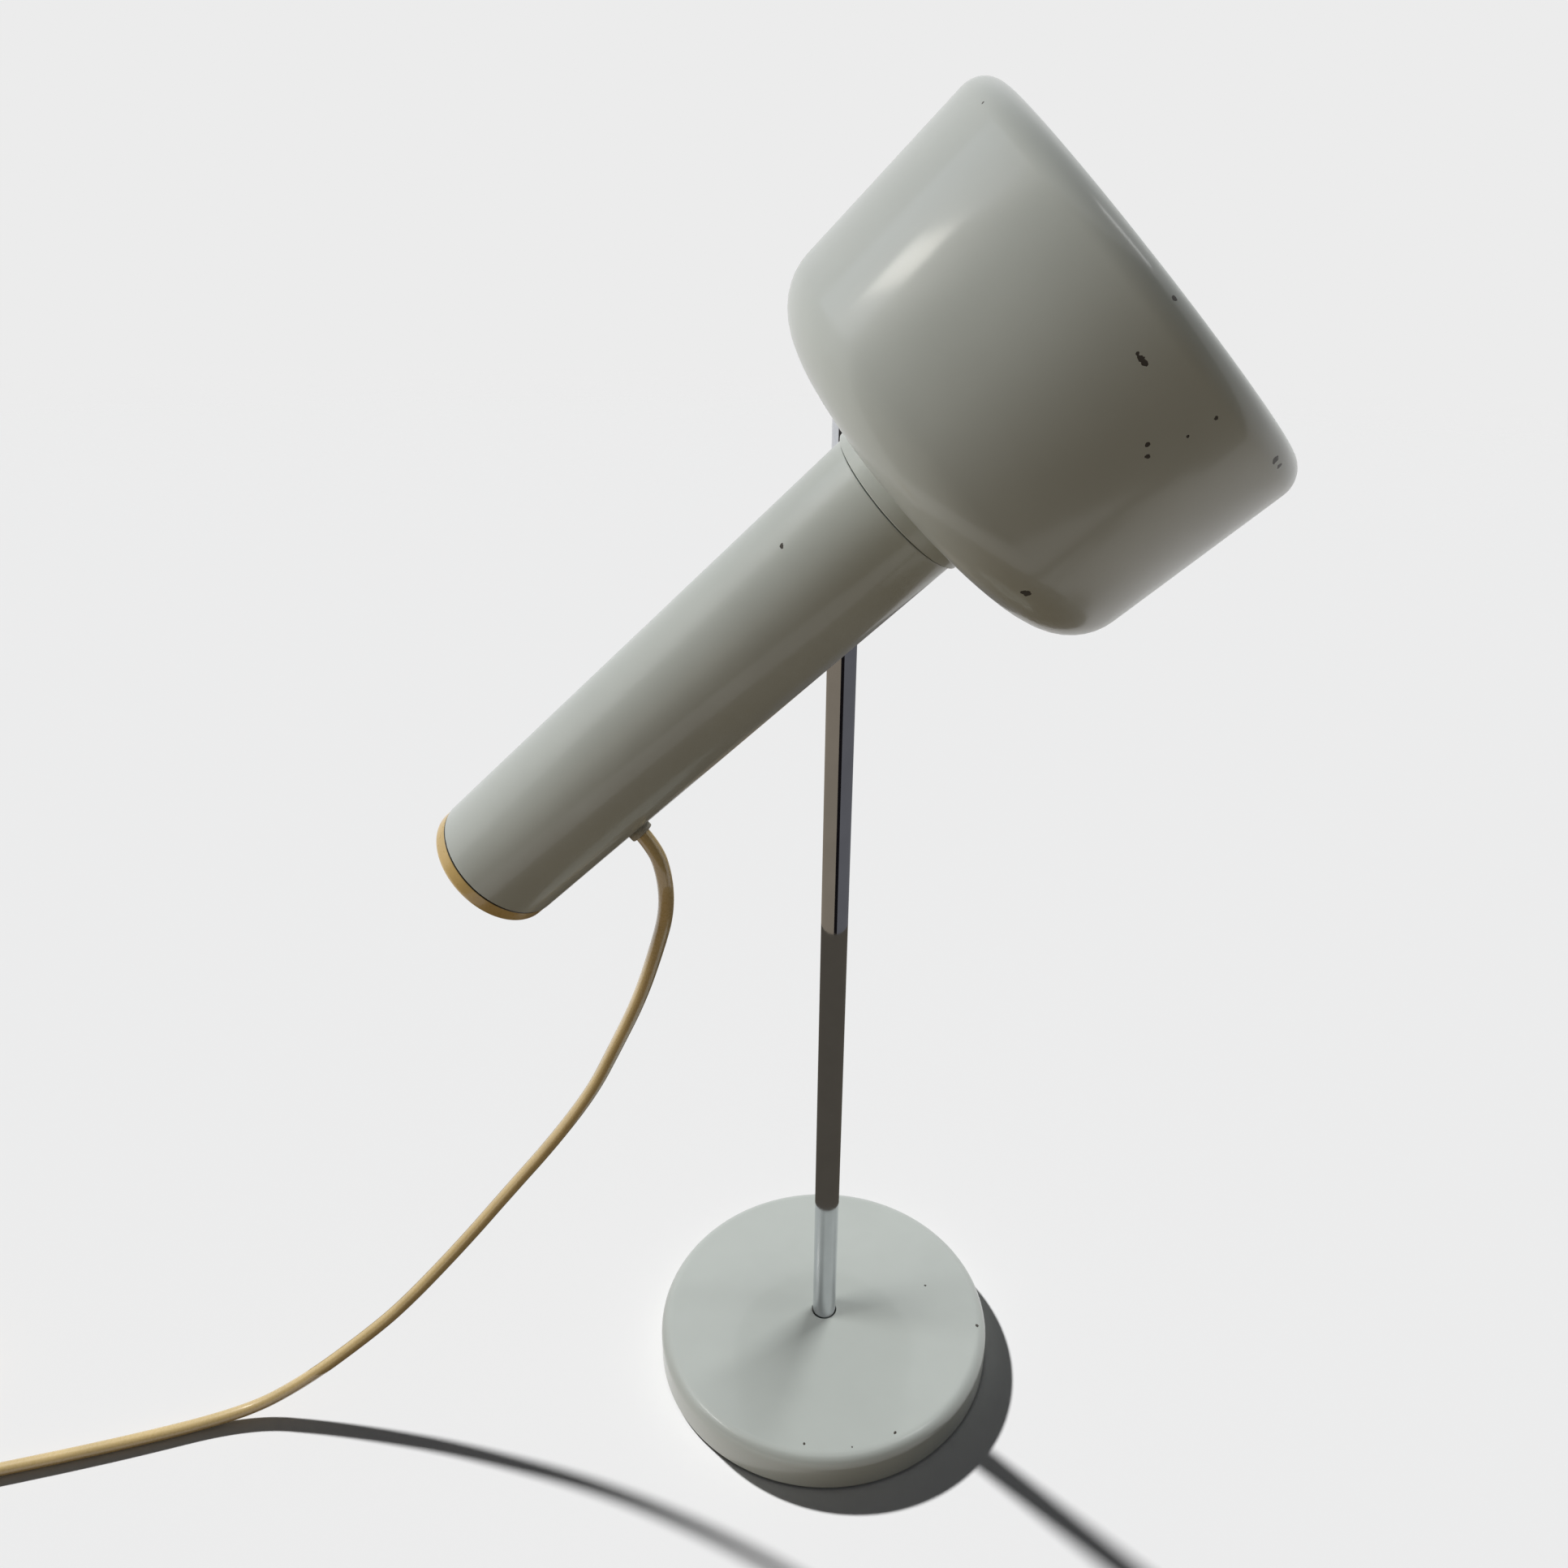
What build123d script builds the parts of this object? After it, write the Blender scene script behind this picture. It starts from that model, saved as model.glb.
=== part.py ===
from build123d import *

import os
from math import cos, radians, sin, tan

# Tabletop spotlight lamp. Millimetres, +Z up. The origin is the centre of the foot's underside, on the
# table. The head hangs beside the stem on its -Y side and points up towards +X.

# ---------------------------------------------------------------- driving dimensions

# Foot
base_radius = 71.0
base_height = 16.2
base_edge_radius = 5.0
shell_wall = 1.5
shell_lift = 0.8
felt_thickness = 2.0
weight_clearance = 0.4
weight_edge_radius = 4.0
nut_recess_radius = 15.0
nut_recess_depth = 6.5

# Stem and the friction bearing that lets it turn in the foot
stem_radius = 5.0
stem_top = 395.0
stem_top_radius = 1.4
stem_hole_gap = 0.3
stem_tail_radius = 4.0
stem_tail_end = 2.5
bush_radius = 6.0
bush_flange_radius = 8.0
bush_flange = 1.2
bush_seat_depth = 3.7
running_gap = 0.05
thrust_washer_thickness = 0.8
washer_gap = 0.15
foot_washer_radius = 8.0
foot_washer_thickness = 1.0
foot_spring_height = 1.3
foot_spring_thickness = 0.8
foot_nut_flats = 13.0
foot_nut_height = 3.4

# Where the head stands
pivot_height = 357.0
arm_reach = 65.0
head_elevation = 44.2

# Knuckle that slides on the stem
hub_radius = 10.5
hub_half_height = 11.0
hub_edge_radius = 1.2
boss_radius = 8.5
boss_edge = 0.8
boss_blend = 2.0
slide_bush_radius = 6.15
slide_bush_length = 8.0
slide_flange_radius = 9.0
slide_flange = 1.0
seat_gap = 0.05
pad_radius = 2.3
pad_end = 8.3
tension_screw_radius = 2.5
tension_screw_length = 2.0
tension_slot_width = 0.8
tension_slot_depth = 0.9

# Tilt pivot
stud_radius = 3.0
stud_depth = 13.0
stud_overhang = 0.9
fibre_washer_thickness = 1.0
saddle_radius = 8.2
saddle_height = 6.7
inner_saddle_radius = 7.5
inner_saddle_height = 4.4
pivot_hole_gap = 0.6
pivot_spring_radius = 7.0
pivot_spring_height = 1.1
pivot_spring_thickness = 0.7
pivot_nut_flats = 10.0
pivot_nut_height = 5.0

# Torch tube, from the pivot along the head's axis
tube_radius = 21.25
tube_wall = 1.0
tube_front = 34.0
tube_rear = -133.4
seam_gap = 0.4

# Spigot that carries the shade and the lampholder
spigot_wall = 1.8
spigot_rear = 20.0
spigot_web = 1.5
spigot_reach = 8.0
finger_slots = 3
finger_slot_width = 2.0
finger_slot_depth = 6.0

# Shade
neck_length = 8.9
neck_blend = 1.5
shade_wall = 1.0
shade_back_radius = 56.7
shade_back_cone = 2.0
shoulder_radius = 14.0
shade_front_radius = 57.6
shade_length = 77.2
rim_radius = 6.0
mouth_radius = 50.6

# Lampholder and bulb
nipple_radius = 5.0
nipple_bore = 3.5
nipple_length = 8.6
holder_nut_flats = 14.0
holder_nut_height = 2.4
holder_radius = 14.0
holder_wall = 1.4
holder_shoulder = 3.5
holder_cap_length = 10.4
holder_floor = 2.0
core_start = 5.4
core_height = 4.5
core_contact_height = 1.5
core_contact_radius = 3.0
skirt_length = 18.0
skirt_mouth_radius = 9.5
skirt_lip = 1.5
skirt_chamfer = 1.5
screw_shell_radius = 7.9
screw_shell_wall = 0.6
screw_shell_length = 15.5
bulb_thread_radius = 6.9
bulb_tip_radius = 2.5
bulb_tip_height = 1.5
bulb_insulator_radius = 4.5
bulb_insulator_height = 2.0
bulb_cap_length = 23.0
bulb_neck_radius = 7.4
bulb_radius = 22.5
bulb_length = 75.0
bulb_throat_radius = 9.0
glass_wall = 0.8

# Rear cap and push-button switch
cap_rim_length = 5.5
cap_step = 0.15
cap_edge_radius = 2.0
cap_wall = 2.5
cap_skirt_gap = 0.1
cap_skirt_wall = 1.95
cap_skirt_length = 10.0
cap_boss_radius = 11.5
cap_boss_height = 2.0
nut_recess = 2.0
switch_nut_radius = 8.8
switch_nut_thickness = 1.5
switch_nut_slot = 2.0
switch_neck_radius = 5.8
switch_body_radius = 8.5
switch_body_length = 20.0
button_radius = 3.8
button_gap = 0.2
button_stand = 4.0
button_dome = 1.5
button_inside = 6.8
button_room = 3.5

# Gland, inner wires and mains lead
gland_from_rear = 42.5
gland_radius = 3.75
gland_height = 2.0
gland_edge_radius = 0.6
gland_barrel_radius = 3.2
gland_inside = 7.0
cord_in_gland = 6.5
gland_nut_radius = 6.0
gland_nut_height = 2.4
wire_radius = 1.0
wire_offset = 1.3
wire_stub = 5.0
wire_bow = 8.5
wire_bow_place = 50.0
wire_front_bend = -35.0
cord_radius = 2.5
bend_share = 0.45

# Plug
plug_thickness = 13.7
plug_half_width = 17.6
plug_tail_half_width = 6.5
plug_sleeve_length = 14.0
plug_sleeve_radii = (3.4, 4.6)
plug_shoulder = 17.0
plug_length = 49.0
plug_edge_radius = 2.0
plug_corner_radius = 4.0
plug_entry_depth = 4.0
pin_radius = 2.0
pin_length = 19.0
pin_root = 4.0
pin_spacing = 18.6

# ---------------------------------------------------------------- frames and shared helpers

elevation = radians(head_elevation)
pivot = Vector(0, -arm_reach, pivot_height)
head_direction = Vector(cos(elevation), 0, sin(elevation))
head_underside = Vector(sin(elevation), 0, -cos(elevation))
head_axis = Axis(pivot, head_direction)
pivot_axis = Axis(pivot, (0, 1, 0))

# Local X runs along the head's axis and local Y is the distance from it.
head_section = Plane(origin=pivot, x_dir=head_direction, z_dir=(0, -1, 0))

# Local X runs from the stem to the head, and local Y is the distance from the tilt axis.
pivot_section = Plane(origin=pivot, x_dir=(0, 1, 0), z_dir=(1, 0, 0))


def across_head(distance):
    """A plane square to the head's axis: local X is +Y, local Y the head's upper side."""
    return Plane(origin=pivot + head_direction * distance, x_dir=(0, 1, 0), z_dir=head_direction)


def head_point(distance, upward, sideways):
    """A point in the head's own terms, turned into the lamp's frame."""
    return across_head(distance).from_local_coords(Vector(sideways, upward, 0))


def turn(plane, axis, *outline):
    """Revolve a closed outline drawn in plane about axis, in the part being built."""
    with BuildSketch(plane) as section:
        with BuildLine():
            Polyline(*outline, close=True)
        make_face()
    revolve(section.sketch, axis=axis)


def disc_spring(plane, axis, start, height, thickness, inner, outer):
    """A coned washer, its inner edge lifted by height less thickness."""
    rise = height - thickness
    turn(
        plane,
        axis,
        (start + rise, inner),
        (start + height, inner),
        (start + thickness, outer),
        (start, outer),
    )


def bend_radii(points):
    """For each corner of a route, the largest tangent arc that its two runs leave room for."""
    corners = [Vector(point) for point in points]
    radii = []
    for before, corner, after in zip(corners, corners[1:], corners[2:]):
        half_turn = radians((corner - before).get_angle(after - corner)) / 2
        shorter_run = min((corner - before).length, (after - corner).length)
        radii.append(bend_share * shorter_run / tan(half_turn))
    return radii


def cable(points, radius):
    """Sweep a round section along straight runs joined by tangent arcs, in the part being built."""
    with BuildLine() as route:
        FilletPolyline(*points, radius=bend_radii(points))
    with BuildSketch(Plane(origin=route.line @ 0, z_dir=route.line % 0)) as section:
        Circle(radius)
    sweep(section.sketch, path=route.line)
    return sum(edge.length for edge in route.edges())


# ---------------------------------------------------------------- foot

shell_inside_top = base_height - shell_wall
weight_radius = base_radius - shell_wall - weight_clearance
bush_seat = shell_inside_top - bush_seat_depth
recess_top = felt_thickness + nut_recess_depth

with BuildPart() as base_shell:
    with BuildSketch(Plane.XY.offset(shell_lift)):
        Circle(base_radius)
    extrude(amount=base_height - shell_lift)
    fillet(base_shell.edges().group_by(Axis.Z)[-1], base_edge_radius)
    offset(amount=-shell_wall, openings=base_shell.faces().sort_by(Axis.Z)[0])
    with Locations((0, 0, base_height)):
        Hole(stem_radius + stem_hole_gap, depth=base_height)

with BuildPart() as base_weight:
    with BuildSketch(Plane.XY.offset(felt_thickness)):
        Circle(weight_radius)
    extrude(amount=shell_inside_top - felt_thickness)
    fillet(base_weight.edges().group_by(Axis.Z)[-1], weight_edge_radius)
    with Locations((0, 0, shell_inside_top)):
        CounterBoreHole(
            bush_radius + running_gap,
            bush_flange_radius + running_gap,
            bush_seat_depth,
            depth=base_height,
        )
    with BuildSketch(Plane.XY.offset(felt_thickness)):
        Circle(nut_recess_radius)
    extrude(amount=nut_recess_depth, mode=Mode.SUBTRACT)

with BuildPart() as base_felt:
    with BuildSketch():
        Circle(weight_radius)
    extrude(amount=felt_thickness)

with BuildPart() as stem_bush:
    with BuildSketch(Plane.XY.offset(bush_seat)):
        Circle(bush_flange_radius)
    extrude(amount=bush_flange)
    with BuildSketch(Plane.XY.offset(bush_seat)):
        Circle(bush_radius)
    extrude(amount=recess_top - bush_seat)
    with Locations((0, 0, bush_seat + bush_flange)):
        Hole(stem_tail_radius + running_gap, depth=base_height)

# ---------------------------------------------------------------- stem and its bearing

thrust_washer_floor = bush_seat + bush_flange + running_gap
stem_shoulder = thrust_washer_floor + thrust_washer_thickness
foot_spring_floor = recess_top - running_gap - foot_spring_height
foot_washer_floor = foot_spring_floor - foot_washer_thickness
foot_nut_floor = foot_washer_floor - foot_nut_height

with BuildPart() as stem:
    with BuildSketch(Plane.XY.offset(stem_shoulder)):
        Circle(stem_radius)
    extrude(amount=stem_top - stem_shoulder)
    fillet(stem.edges().group_by(Axis.Z)[-1], stem_top_radius)
    with BuildSketch(Plane.XY.offset(stem_tail_end)):
        Circle(stem_tail_radius)
    extrude(amount=stem_shoulder - stem_tail_end)

with BuildPart() as thrust_washer:
    with BuildSketch(Plane.XY.offset(thrust_washer_floor)):
        Circle(bush_flange_radius)
        Circle(stem_tail_radius + washer_gap, mode=Mode.SUBTRACT)
    extrude(amount=thrust_washer_thickness)

with BuildPart() as foot_spring:
    disc_spring(
        Plane(origin=(0, 0, 0), x_dir=(0, 0, 1), z_dir=(0, -1, 0)),
        Axis.Z,
        foot_spring_floor,
        foot_spring_height,
        foot_spring_thickness,
        stem_tail_radius + washer_gap,
        foot_washer_radius,
    )

with BuildPart() as foot_washer:
    with BuildSketch(Plane.XY.offset(foot_washer_floor)):
        Circle(foot_washer_radius)
        Circle(stem_tail_radius + washer_gap, mode=Mode.SUBTRACT)
    extrude(amount=foot_washer_thickness)

with BuildPart() as foot_nut:
    with BuildSketch(Plane.XY.offset(foot_nut_floor)):
        RegularPolygon(foot_nut_flats / 2, 6, major_radius=False)
        Circle(stem_tail_radius, mode=Mode.SUBTRACT)
    extrude(amount=foot_nut_height)

# ---------------------------------------------------------------- pivot stack, measured from the stem's axis

tube_face = arm_reach - tube_radius
saddle_face = tube_face - saddle_height
washer_face = saddle_face - running_gap
boss_length = washer_face - fibre_washer_thickness
tube_inside = tube_radius - tube_wall
inner_saddle_face = arm_reach - tube_inside + inner_saddle_height
pivot_spring_face = inner_saddle_face + running_gap
pivot_nut_face = pivot_spring_face + pivot_spring_height
stud_end = pivot_nut_face + pivot_nut_height + stud_overhang


def facing_head(distance):
    """A plane square to the tilt axis, distance in front of the stem's axis, facing the head."""
    return Plane(origin=(0, -distance, pivot_height), x_dir=(1, 0, 0), z_dir=(0, -1, 0))


with BuildPart() as knuckle:
    with BuildSketch(Plane.XY.offset(pivot_height - hub_half_height)):
        Circle(hub_radius)
    extrude(amount=2 * hub_half_height)
    fillet(knuckle.edges().filter_by(GeomType.CIRCLE), hub_edge_radius)
    with BuildSketch(facing_head(0)):
        Circle(boss_radius)
    extrude(amount=boss_length)
    chamfer(knuckle.faces().sort_by(Axis.Y)[0].edges(), boss_edge)
    with BuildSketch(Plane.XY.offset(pivot_height - hub_half_height)):
        Circle(slide_bush_radius + seat_gap)
    extrude(amount=2 * hub_half_height, mode=Mode.SUBTRACT)
    with BuildSketch(facing_head(boss_length - stud_depth)):
        Circle(stud_radius)
    extrude(amount=stud_depth, mode=Mode.SUBTRACT)
    with BuildSketch(facing_head(0)):
        Circle(tension_screw_radius)
    extrude(amount=-hub_radius, mode=Mode.SUBTRACT)

with BuildPart() as slide_bushes:
    with BuildSketch(Plane.XY.offset(pivot_height + hub_half_height - slide_bush_length)):
        Circle(slide_bush_radius)
        Circle(stem_radius + running_gap, mode=Mode.SUBTRACT)
    extrude(amount=slide_bush_length)
    with BuildSketch(Plane.XY.offset(pivot_height + hub_half_height)):
        Circle(slide_flange_radius)
        Circle(stem_radius + running_gap, mode=Mode.SUBTRACT)
    extrude(amount=slide_flange)
    mirror(about=Plane.XY.offset(pivot_height))

with BuildPart() as friction_pad:
    with BuildSketch(facing_head(0)):
        Circle(pad_radius)
    extrude(amount=-pad_end)
    with BuildSketch(Plane.XY.offset(pivot_height - hub_half_height)):
        Circle(stem_radius + running_gap)
    extrude(amount=2 * hub_half_height, mode=Mode.SUBTRACT)

with BuildPart() as tension_screw:
    with BuildSketch(facing_head(-pad_end)):
        Circle(tension_screw_radius)
    extrude(amount=-tension_screw_length)
    with BuildSketch(facing_head(-pad_end - tension_screw_length)):
        Rectangle(2 * tension_screw_radius, tension_slot_width)
    extrude(amount=tension_slot_depth, mode=Mode.SUBTRACT)

with BuildPart() as pivot_stud:
    with BuildSketch(facing_head(boss_length - stud_depth)):
        Circle(stud_radius)
    extrude(amount=stud_end - boss_length + stud_depth)

with BuildPart() as fibre_washer:
    with BuildSketch(facing_head(boss_length)):
        Circle(saddle_radius)
        Circle(stud_radius + washer_gap, mode=Mode.SUBTRACT)
    extrude(amount=fibre_washer_thickness)

with BuildPart() as outer_saddle:
    with BuildSketch(facing_head(saddle_face)):
        Circle(saddle_radius)
        Circle(stud_radius + running_gap, mode=Mode.SUBTRACT)
    extrude(amount=arm_reach - saddle_face)
    with BuildSketch(across_head(-saddle_radius)):
        Circle(tube_radius)
    extrude(amount=2 * saddle_radius, mode=Mode.SUBTRACT)

with BuildPart() as inner_saddle:
    with BuildSketch(across_head(-inner_saddle_radius)):
        Circle(tube_inside)
    extrude(amount=2 * inner_saddle_radius)
    with BuildSketch(facing_head(0)):
        Circle(inner_saddle_radius)
        Circle(stud_radius + running_gap, mode=Mode.SUBTRACT)
    extrude(amount=inner_saddle_face, mode=Mode.INTERSECT)

with BuildPart() as pivot_spring:
    disc_spring(
        Plane(origin=(0, 0, pivot_height), x_dir=(0, -1, 0), z_dir=(-1, 0, 0)),
        pivot_axis,
        pivot_spring_face,
        pivot_spring_height,
        pivot_spring_thickness,
        stud_radius + washer_gap,
        pivot_spring_radius,
    )

with BuildPart() as pivot_nut:
    with BuildSketch(facing_head(pivot_nut_face)):
        RegularPolygon(pivot_nut_flats / 2, 6, major_radius=False)
        Circle(stud_radius, mode=Mode.SUBTRACT)
    extrude(amount=pivot_nut_height)

# ---------------------------------------------------------------- torch tube and spigot

gland_place = tube_rear + gland_from_rear
gland_plane = Plane(
    origin=pivot + head_direction * gland_place,
    x_dir=(0, 1, 0),
    z_dir=head_underside,
)
gland_axis = Axis(gland_plane.origin, head_underside)
spigot_radius = tube_inside - seat_gap
spigot_front = tube_front + spigot_reach

with BuildPart() as torch_tube:
    with BuildSketch(across_head(tube_rear)):
        Circle(tube_radius)
        Circle(tube_inside, mode=Mode.SUBTRACT)
    extrude(amount=tube_front - tube_rear)
    with BuildSketch(facing_head(0)):
        Circle(stud_radius + pivot_hole_gap)
    extrude(amount=arm_reach, mode=Mode.SUBTRACT)
    with BuildSketch(gland_plane):
        Circle(gland_barrel_radius + seat_gap)
    extrude(amount=2 * tube_radius, mode=Mode.SUBTRACT)

with BuildPart() as spigot:
    turn(
        head_section,
        head_axis,
        (spigot_rear, nipple_radius + seat_gap),
        (spigot_rear, spigot_radius),
        (spigot_front, spigot_radius),
        (spigot_front, spigot_radius - spigot_wall),
        (spigot_rear + spigot_web, spigot_radius - spigot_wall),
        (spigot_rear + spigot_web, nipple_radius + seat_gap),
    )
    with BuildSketch(across_head(spigot_front)):
        with PolarLocations(spigot_radius, finger_slots, start_angle=90):
            Rectangle(3 * spigot_wall, finger_slot_width)
    extrude(amount=-finger_slot_depth, mode=Mode.SUBTRACT)

# ---------------------------------------------------------------- shade

neck_rear = tube_front + seam_gap
neck_front = tube_front + neck_length
shade_front = tube_front + shade_length

with BuildPart() as shade:
    with BuildSketch(head_section):
        with BuildLine():
            FilletPolyline(
                (neck_rear, tube_radius),
                (neck_front, tube_radius),
                (neck_front + shade_back_cone, shade_back_radius),
                (shade_front, shade_front_radius),
                (shade_front, mouth_radius),
                radius=(neck_blend, shoulder_radius, rim_radius),
            )
            offset(amount=shade_wall, side=Side.RIGHT)
        make_face()
    revolve(axis=head_axis)

# ---------------------------------------------------------------- lampholder and bulb

holder_rear = spigot_rear + spigot_web
holder_inside = holder_radius - holder_wall
cap_front = holder_rear + holder_cap_length
core_rear = holder_rear + core_start
core_front = core_rear + core_height
skirt_front = cap_front + skirt_length
bulb_tip = core_front + core_contact_height + seat_gap
bulb_cap_front = bulb_tip + bulb_cap_length
bulb_centre = bulb_tip + bulb_length - bulb_radius
throat = bulb_centre - (bulb_radius**2 - bulb_throat_radius**2) ** 0.5
glass_inside = bulb_radius - glass_wall
throat_inside_radius = bulb_throat_radius - glass_wall
throat_inside = bulb_centre - (glass_inside**2 - throat_inside_radius**2) ** 0.5

with BuildPart() as lampholder_nut:
    with BuildSketch(across_head(spigot_rear)):
        RegularPolygon(holder_nut_flats / 2, 6, major_radius=False)
        Circle(nipple_radius, mode=Mode.SUBTRACT)
    extrude(amount=-holder_nut_height)

with BuildPart() as lampholder_cap:
    turn(
        head_section,
        head_axis,
        (holder_rear - nipple_length, nipple_bore),
        (holder_rear - nipple_length, nipple_radius),
        (holder_rear, nipple_radius),
        (holder_rear, holder_radius - holder_shoulder),
        (holder_rear + holder_shoulder, holder_radius),
        (cap_front, holder_radius),
        (cap_front, holder_inside),
        (core_rear, holder_inside),
        (holder_rear + holder_floor, holder_inside - holder_shoulder),
        (holder_rear + holder_floor, nipple_bore),
    )

with BuildPart() as lampholder_core:
    turn(
        head_section,
        head_axis,
        (core_rear, nipple_bore),
        (core_rear, holder_inside - seat_gap),
        (core_front, holder_inside - seat_gap),
        (core_front, core_contact_radius),
        (core_front + core_contact_height, core_contact_radius),
        (core_front + core_contact_height, 0),
        (core_rear + core_height / 2, 0),
        (core_rear + core_height / 2, nipple_bore),
    )

with BuildPart() as lampholder_skirt:
    turn(
        head_section,
        head_axis,
        (cap_front, holder_inside),
        (cap_front, holder_radius),
        (skirt_front - skirt_chamfer, holder_radius),
        (skirt_front, holder_radius - skirt_chamfer),
        (skirt_front, skirt_mouth_radius),
        (skirt_front - skirt_lip, skirt_mouth_radius),
        (skirt_front - skirt_lip, holder_inside),
    )

with BuildPart() as screw_shell:
    with BuildSketch(across_head(core_front)):
        Circle(screw_shell_radius)
        Circle(screw_shell_radius - screw_shell_wall, mode=Mode.SUBTRACT)
    extrude(amount=screw_shell_length)

with BuildPart() as bulb_cap:
    turn(
        head_section,
        head_axis,
        (bulb_tip, 0),
        (bulb_tip, bulb_tip_radius),
        (bulb_tip + bulb_tip_height, bulb_tip_radius),
        (bulb_tip + bulb_tip_height, bulb_insulator_radius),
        (bulb_tip + bulb_tip_height + bulb_insulator_height, bulb_thread_radius),
        (bulb_cap_front, bulb_thread_radius),
        (bulb_cap_front, 0),
    )

with BuildPart() as bulb_glass:
    with BuildSketch(head_section):
        with BuildLine():
            Line((bulb_cap_front, bulb_neck_radius), (throat, bulb_throat_radius))
            ThreePointArc(
                (throat, bulb_throat_radius),
                (bulb_centre, bulb_radius),
                (bulb_centre + bulb_radius, 0),
            )
            Line((bulb_centre + bulb_radius, 0), (bulb_centre + glass_inside, 0))
            ThreePointArc(
                (bulb_centre + glass_inside, 0),
                (bulb_centre, glass_inside),
                (throat_inside, throat_inside_radius),
            )
            Polyline(
                (throat_inside, throat_inside_radius),
                (bulb_cap_front, bulb_neck_radius - glass_wall),
                (bulb_cap_front, bulb_neck_radius),
            )
        make_face()
    revolve(axis=head_axis)

# ---------------------------------------------------------------- rear cap and switch

rim_front = tube_rear - seam_gap
rim_rear = rim_front - cap_rim_length
cap_rim_radius = tube_radius - cap_step
skirt_radius = tube_inside - cap_skirt_gap
skirt_inside = skirt_radius - cap_skirt_wall
wall_front = rim_rear + cap_wall
boss_front = wall_front + cap_boss_height
nut_floor = rim_rear + nut_recess
neck_hole = switch_neck_radius + seat_gap
nut_recess_wall = switch_nut_radius + cap_wall / 5
button_bore = button_radius + button_gap
neck_rear_end = rim_rear + button_gap
button_front = rim_rear + button_inside
button_rear = rim_rear - button_stand

with BuildPart() as rear_cap:
    turn(
        head_section,
        head_axis,
        (rim_front + cap_skirt_length, skirt_inside),
        (rim_front + cap_skirt_length, skirt_radius),
        (rim_front, skirt_radius),
        (rim_front, cap_rim_radius),
        (rim_rear, cap_rim_radius),
        (rim_rear, nut_recess_wall),
        (nut_floor, nut_recess_wall),
        (nut_floor, neck_hole),
        (boss_front, neck_hole),
        (boss_front, cap_boss_radius),
        (wall_front, cap_boss_radius),
        (wall_front, skirt_inside),
    )
    rim_edges = rear_cap.edges().filter_by(GeomType.CIRCLE).group_by(head_axis)[0]
    fillet(rim_edges.sort_by(SortBy.RADIUS)[-1], cap_edge_radius)

with BuildPart() as switch_body:
    turn(
        head_section,
        head_axis,
        (neck_rear_end, button_bore),
        (neck_rear_end, switch_neck_radius),
        (boss_front, switch_neck_radius),
        (boss_front, switch_body_radius),
        (boss_front + switch_body_length, switch_body_radius),
        (boss_front + switch_body_length, 0),
        (button_front + button_room, 0),
        (button_front + button_room, button_bore),
    )

with BuildPart() as switch_nut:
    with BuildSketch(across_head(nut_floor)):
        Circle(switch_nut_radius)
        Circle(switch_neck_radius, mode=Mode.SUBTRACT)
        Rectangle(3 * switch_nut_radius, switch_nut_slot, mode=Mode.SUBTRACT)
    extrude(amount=-switch_nut_thickness)
    with BuildSketch(across_head(nut_floor)):
        Circle(switch_nut_radius)
        Circle(switch_neck_radius, mode=Mode.SUBTRACT)
    extrude(amount=-switch_nut_thickness / 2)

with BuildPart() as switch_button:
    with BuildSketch(head_section):
        with BuildLine():
            Polyline(
                (button_rear, 0),
                (button_front, 0),
                (button_front, button_radius),
                (button_rear + button_dome, button_radius),
            )
            TangentArc(
                (button_rear + button_dome, button_radius),
                (button_rear, button_radius - button_dome),
                tangent=(-1, 0),
            )
            Line((button_rear, button_radius - button_dome), (button_rear, 0))
        make_face()
    revolve(axis=head_axis)

# ---------------------------------------------------------------- gland and inner wires

with BuildPart() as cord_gland:
    with BuildSketch(gland_plane.offset(tube_inside - gland_inside)):
        Circle(gland_barrel_radius)
    extrude(amount=gland_inside + tube_wall)
    with BuildSketch(gland_plane.offset(tube_inside)):
        Circle(gland_radius)
    extrude(amount=tube_wall + gland_height)
    fillet(cord_gland.edges().group_by(gland_axis)[-1], gland_edge_radius)
    with BuildSketch(across_head(gland_place - gland_radius)):
        Circle(tube_radius)
    extrude(amount=2 * gland_radius, mode=Mode.SUBTRACT)
    with BuildSketch(gland_plane.offset(tube_inside - gland_inside)):
        Circle(gland_barrel_radius)
    extrude(amount=gland_inside + tube_wall)
    with BuildSketch(gland_plane.offset(tube_inside - gland_inside)):
        Circle(cord_radius + seat_gap)
    extrude(amount=2 * tube_radius, mode=Mode.SUBTRACT)

gland_nut_seat = (tube_inside**2 - gland_nut_radius**2) ** 0.5 - seat_gap

with BuildPart() as gland_nut:
    with BuildSketch(gland_plane.offset(gland_nut_seat)):
        Circle(gland_nut_radius)
        Circle(gland_barrel_radius, mode=Mode.SUBTRACT)
    extrude(amount=-gland_nut_height)

gland_mouth = tube_radius + gland_height
cord_end = gland_mouth - cord_in_gland
switch_front = boss_front + switch_body_length
nipple_rear = holder_rear - nipple_length

with BuildPart() as live_wire:
    cable(
        [
            head_point(gland_place, -cord_end, -wire_offset),
            head_point(gland_place, -cord_end + wire_stub, -wire_offset),
            head_point(gland_place - 4, -cord_end + 11, -wire_offset - 1),
            head_point(gland_place - 12, -cord_end + 13, -wire_offset - 2),
            head_point(switch_front, -cord_end + 13, -wire_offset - 2),
        ],
        wire_radius,
    )

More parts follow.
